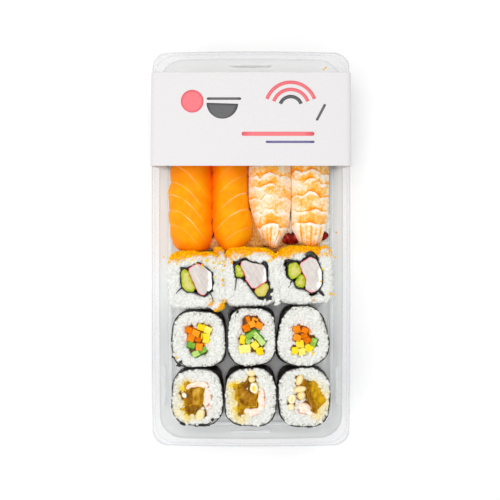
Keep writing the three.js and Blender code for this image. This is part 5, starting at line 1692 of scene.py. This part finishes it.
def drapePart(piece, values, shape):
    # a topping laid over rice: an arched outside, a rounded hem and a thinner inside
    stations, across = values["stations"], values["across"]
    part = 0.5 - 0.5 * np.cos(np.pi * np.linspace(0.012, 0.988, stations))
    endward = np.abs(2 * part - 1)
    roundness = (1 - endward ** values["endPower"]) ** (1 / values["endPower"])
    y = piece["near"] + (nigiriFar - piece["near"]) * part
    left, right = curveAt(piece["leftEdge"], y), curveAt(piece["rightEdge"], y)
    middle = (left + right) / 2
    half = (right - left) / 2 * roundness
    crest = values["crest"] - values["endDrop"] * endward ** 6
    crest = crest + values["wave"] * np.sin(part * 11 + piece["seed"])
    drop = values["drop"] * roundness
    thick = values["thick"] * (0.35 + 0.65 * roundness)
    u = np.sin(np.linspace(-0.5, 0.5, across) * math.pi)
    flank = np.abs(u) ** values["flank"]
    xs = middle[:, None] + half[:, None] * u
    ys = np.repeat(y[:, None], across, 1)
    zs = crest[:, None] - drop[:, None] * flank
    xs, ys, zs, fields = shape(piece, values, xs, ys, zs, u, half)
    lowHalf = (half - thick * 0.25)[:, None]
    innerX = middle[:, None] + np.maximum(lowHalf, half[:, None] * 0.4) * u[::-1]
    innerZ = (crest - 0.2)[:, None] - drop[:, None] * flank - thick[:, None] * (1 - 0.45 * np.abs(u))
    hems = []
    for side in (-1, 0):
        edgeX, edgeZ, lowZ = xs[:, side], zs[:, side], innerZ[:, 0]
        outward = np.sign(edgeX - middle) * np.minimum(0.4, half * 0.2)
        hems.append([((edgeX + outward * k)[:, None], (edgeZ * (1 - f) + lowZ * f)[:, None])
                     for k, f in ((0.7, 0.2), (1.0, 0.5), (0.6, 0.8))])
    columns = [(xs, zs), *hems[0], (innerX, innerZ[:, ::-1]), *hems[1][::-1]]
    allX, allZ = [np.hstack([column[axis] for column in columns]) for axis in (0, 1)]
    allY = np.repeat(y[:, None], allX.shape[1], 1)
    allY[:, :across] = ys
    points = np.stack([allX, allY, allZ], -1).reshape(-1, 3)
    spread = {}
    for key, upper in fields.items():
        edgeRight = np.repeat(upper[:, -1:], 3, 1)
        edgeLeft = np.repeat(upper[:, :1], allX.shape[1] - across - 3, 1)
        spread[key] = np.hstack([upper, edgeRight, edgeLeft]).ravel()
    return points, loftFaces(stations, allX.shape[1]), spread


def salmonShape(piece, values, xs, ys, zs, u, half):
    seed = piece["seed"]
    places = np.stack([xs, ys], -1)
    fromEdge = np.maximum(-piece["fatFrom"] * (xs - piece["fatEdge"]), 0)
    starts = piece["fatStarts"]
    line = ys + piece["fatBend"] * fromEdge ** 1.93
    phase = np.interp(line, starts, np.arange(len(starts)))
    share = np.interp(line, starts, piece["fatShare"]) * (1 - 0.85 * ease(14, 24, fromEdge))
    share = share * (0.45 + 0.55 * ease(0, 6, fromEdge)) * (0.8 + 0.6 * noise(places, 5.0, 3))
    nearLine = np.exp(-((phase - np.round(phase)) / 0.1) ** 2)
    edge = np.abs(u) ** 8
    xs = xs - np.sign(u) * values["edgeNotch"] * nearLine * edge
    sides = np.stack([ys, np.full_like(ys, seed) + np.sign(u)], -1)
    xs = xs + 0.4 * noise(sides, 7.0, 3) * edge
    zs = zs + 0.3 * noise(places, 9.0, seed) + 0.07 * noise(places, 2.5, 4)
    zs = zs - 0.12 * nearLine * share
    # deeper where light is lost: by the joint of the slices, at the near end, under the card
    nearEnd = ease(12, 0, ys)
    joint = ease(7.5, 0.5, np.abs(xs - values["joint"]))
    deep = 0.4 * joint + 0.55 * nearEnd * ease(0.2, 0.9, np.abs(u)) + 0.6 * ease(36, 50, ys)
    deep = deep + 0.3 * nearEnd + 0.15 * noise(places, 8.0, 6)
    return xs, ys, zs, {"phase": phase, "fat": share, "deep": np.clip(deep, 0, 1)}


def prawnShape(piece, values, xs, ys, zs, u, half):
    # overlapping rings, each arched in the middle with a lobe on either side
    seed, reach = piece["seed"], values["reach"]
    away = xs - piece["middle"]
    side = np.abs(away)
    places = np.stack([xs, ys], -1)
    tops, arches, lobes = np.array(piece["rings"], float).T
    sides = np.stack([ys, np.sign(away) * 3], -1)
    lobe = values["lobeAt"] + 1.1 * noise(sides, 6.0, seed)
    outer = np.clip((side - lobe) / (reach - lobe), 0, 1)
    dip = np.where(side < lobe, (side / lobe) ** 2, 1.0)
    line = ys + np.interp(ys, tops, arches) * dip - np.interp(ys, tops, lobes) * np.sin(np.pi * outer)
    line = line + 1.3 * noise(places, 5.5, seed) + 0.5 * noise(places, 2.0, seed)
    count = len(tops)
    place = np.clip(np.interp(line, tops, np.arange(count)), 0, count - 1.001)
    ring = np.floor(place)
    t = place - ring
    length = np.interp(ring, np.arange(count - 1), np.diff(tops))
    fromNear, fromFar = t * length, (1 - t) * length
    valley = np.exp(-((side - lobe) / 1.2) ** 2)
    zs = zs + values["ringStep"] * (t ** 1.4 - 0.5) + values["pillow"] * np.sin(np.pi * t)
    zs = zs - values["valley"] * valley * (0.4 + 0.6 * t)
    lastRing = ring < 0.5
    spread = away / np.maximum(half[:, None], 1)
    wander = 0.04 * noise(np.stack([ys, ys], -1), 4.0, 5)
    ridges = np.zeros_like(xs)
    for at, wide, strong in values["ridges"]:
        ridges = np.maximum(ridges, strong * np.exp(-((spread - at - wander) / wide) ** 2))
    ridges = ridges * lastRing * ease(0, 3, fromFar)
    zs = zs - 0.7 * ridges
    zs = zs + 0.16 * noise(places, 2.2, 7) + 0.25 * noise(places, 6.0, 8)
    # pigment gathers under each ring's edge and in the grooves, together with painted shade where a ring
    # tucks under the next; a painted highlight leaves the rims pale
    uneven = np.clip(0.65 + 1.1 * noise(places, 4.0, seed + 3), 0, 1.3)
    under = np.exp(-(fromNear / 1.0) ** 2) * (~lastRing)
    shade = np.exp(-fromNear / 3.5) * (~lastRing)
    rim = np.exp(-(fromFar / 1.8) ** 2)
    centre = np.exp(-(away / 6.5) ** 2)
    groove = np.exp(-((side - lobe) / 0.5) ** 2)
    pigment = 0.36 - 0.14 * lastRing + 0.54 * under * uneven + 0.4 * shade * centre * uneven
    pigment = pigment + 0.3 * groove * (1 - rim) * uneven
    pigment = pigment - 0.52 * rim * (0.5 + 0.5 * uneven) + 0.5 * ridges
    pigment = pigment + 0.02 * ease(34, 50, ys) - 0.12 * ease(7.5, 11.5, side)
    network = np.clip(1 - np.abs(noise(places, 5.5, 31)) / 0.16, 0, 1)
    pigment = pigment + piece["network"] * network * ease(36, 42, ys)
    accent = np.exp(-((away - 1) / 4.5) ** 2) * (np.abs(ring - 2) < 0.5) * under
    pigment = pigment + piece["network"] * 1.1 * accent
    pigment = pigment + 0.3 * ease(3.0, 0.6, ys - piece["near"]) + 0.3 * noise(places, 4.5, 2)
    return xs, ys, zs, {"pigment": pigment}


def nigiriRice(piece, lower, leftSpill, rightSpill):
    # the spills are how far the rice bulges out beside a narrower topping
    node = piece["name"] + "_rice"
    core = riceCore(node, sink=(0.4, 0.4, 0.4))
    place = readPoints(core.data)
    middle = (place[:, 0].min() + place[:, 0].max()) / 2
    sideways = np.clip((place[:, 0] - middle) / 9, -1, 1)
    reach = np.where(sideways < 0, leftSpill, rightSpill) * ease(32, 20, place[:, 1])
    place[:, 0] += reach * sideways * ease(20, 16, place[:, 2])
    place[:, 1] -= piece.get("foot", 0) * ease(16, 4, place[:, 1]) * ease(21, 16, place[:, 2])
    writePoints(core.data, place)
    lumps = [lumpPart(*numbers, piece["seed"] + i, low=1.2) for i, numbers in enumerate(piece["lumps"])]
    joinPieces(core, makePiece(node + "_lumps", lumps, finishes["rice"]))
    # grains only where the topping leaves the rice bare, and none that would dip below the floor
    centres, normals = faceFacts(core.data)
    bare = (normals[:, 2] < 0.9) | (centres[:, 1] < 14)
    mask = (centres[:, 2] < lower) & (centres[:, 2] > riceValues["lowest"] + 0.4) & bare
    values = {**riceValues, "seed": piece["seed"], "tilt": 18, "lift": (-0.6, 0.0)}
    joinPieces(core, scatter(node + "_grains", core, mask, values, grains, finishes["rice"]))
    core.name = piece["name"] + "_boiled_rice"
    place = readPoints(core.data)
    # painted shade with a painted orange reflection on the bare rice, strongest at the near end and between
    # the salmon and the prawn
    paintedShadeAndReflection = 0.4 + 0.4 * ease(12, 2, place[:, 1]) + 0.5 * ease(8, 3, np.abs(place[:, 0]))
    writeField(core.data, "blush", np.clip(paintedShadeAndReflection * ease(44, 36, place[:, 0]) + 0.1, 0, 0.95))
    handIn(core, "rice", node)


def bladePart(length, width, thickness, seed, rings=15):
    # one thin blade of a tail fan, ribbed down its middle
    section = [(-1, 0), (-0.5, 0.15), (0, 1), (0.5, 0.15), (1, 0), (0.5, -0.5), (0, 0.2), (-0.5, -0.5)]
    rows = []
    for t in [i / (rings - 1) for i in range(rings)]:
        swell = 0.25 + 0.75 * math.sin(math.pi * (0.1 + 0.62 * t))
        half = width / 2 * swell * min(1, 6.5 * (1.02 - t)) ** 0.5
        curl = 0.5 * math.sin(t * 4 + seed)
        for side, level in section:
            rows.append((side * half, -t * length, level * thickness + curl - 0.7 * side * side))
    return np.array(rows), loftFaces(rings, len(section)), {}


def makeTail(piece):
    x, y, long, blades = piece["fan"]
    parts = []
    for i, angle in enumerate(np.linspace(-piece["spread"], piece["spread"], blades)):
        points, faces, fields = bladePart(long * (1 - 0.1 * (i % 2)), 6.4, 0.3, piece["seed"])
        flat = turned(points[:, :2], angle + 4)
        tiltDown = -0.12 * np.linalg.norm(points[:, :2], axis=1)
        points = np.column_stack([flat + [x, y], points[:, 2] + 17.8 + 0.5 * (i % 2) + tiltDown])
        parts.append((points, faces, fields))
    fan = makePiece(piece["name"] + "_fan", parts, finishes["shell"])
    handIn(fan, "prawn_tail", piece["name"] + "_tail")


for piece in salmonPieces:
    part = drapePart(piece, salmonValues, salmonShape)
    slab = makePiece(piece["name"] + "_fillet", [part], finishes["salmon"])
    handIn(slab, "salmon", piece["name"] + "_slice")
    nigiriRice(piece, 16, *piece["spill"])
for piece in prawnPieces:
    part = drapePart(piece, prawnValues, prawnShape)
    slab = makePiece(piece["name"] + "_rings", [part], finishes["prawn"])
    handIn(slab, "cooked_prawn", piece["name"] + "_body")
    nigiriRice(piece, 17.5, *piece["spill"])
    makeTail(piece)
print("nigiri made")

# x, y, z, diameter
strayRoe = [
    (47.1, 114.2, 35.9, 1.2), (46.2, 113.2, 35.9, 1.1), (-55.4, -5, 30, 1.2), (54.2, 10.7, 28, 1.2),
    (53.6, -5, 28, 1.4), (-28.0, -7.2, 28.2, 2.0), (-31.6, -7.4, 28.1, 1.2), (-23.8, -8.8, 28, 1.4),
    (-20.2, -9, 28, 1.6), (-17.9, -7.2, 28, 1.3), (-17, -8.4, 28, 1.2), (-16.8, -10.7, 28, 1.3),
    (-23.6, -12.1, 28, 1.2), (-22.8, -18, 28, 1.3), (-18, -19.8, 28, 1.8), (-17.8, -23, 27.6, 1.4),
    (-18.2, -13.6, 27.8, 1.2), (-31.2, -10, 28.3, 1.3), (-30.6, -11.2, 28.4, 1.3),
    (39.9, -32.5, 28, 1.4), (44.6, -20.6, 28, 1.3), (45.6, -12.8, 28, 1.3), (51, -28.6, 26.5, 1.6),
    (53.2, -29.2, 26, 1.3), (46.6, -3.2, 28.2, 1.5), (28.8, -2.4, 28, 1.4), (-47.8, -69.1, 27.6, 1.4),
]


def makeStrayRoe():
    parts = []
    for i, (x, y, z, diameter) in enumerate(strayRoe):
        mesh = beadMesh("strayBead", diameter)
        points = readPoints(mesh) * [1.15, 0.95, 0.9]
        points[:, :2] = turned(points[:, :2], i * 47)
        faces = [tuple(face.vertices) for face in mesh.polygons]
        parts.append((points + [x, y, z], faces, {"tone": (i * 0.37) % 1}))
        bpy.data.meshes.remove(mesh)
    handIn(makePiece("stray_roe", parts, finishes["roe"]), "rice")


makeStrayRoe()
print("crumbs made")
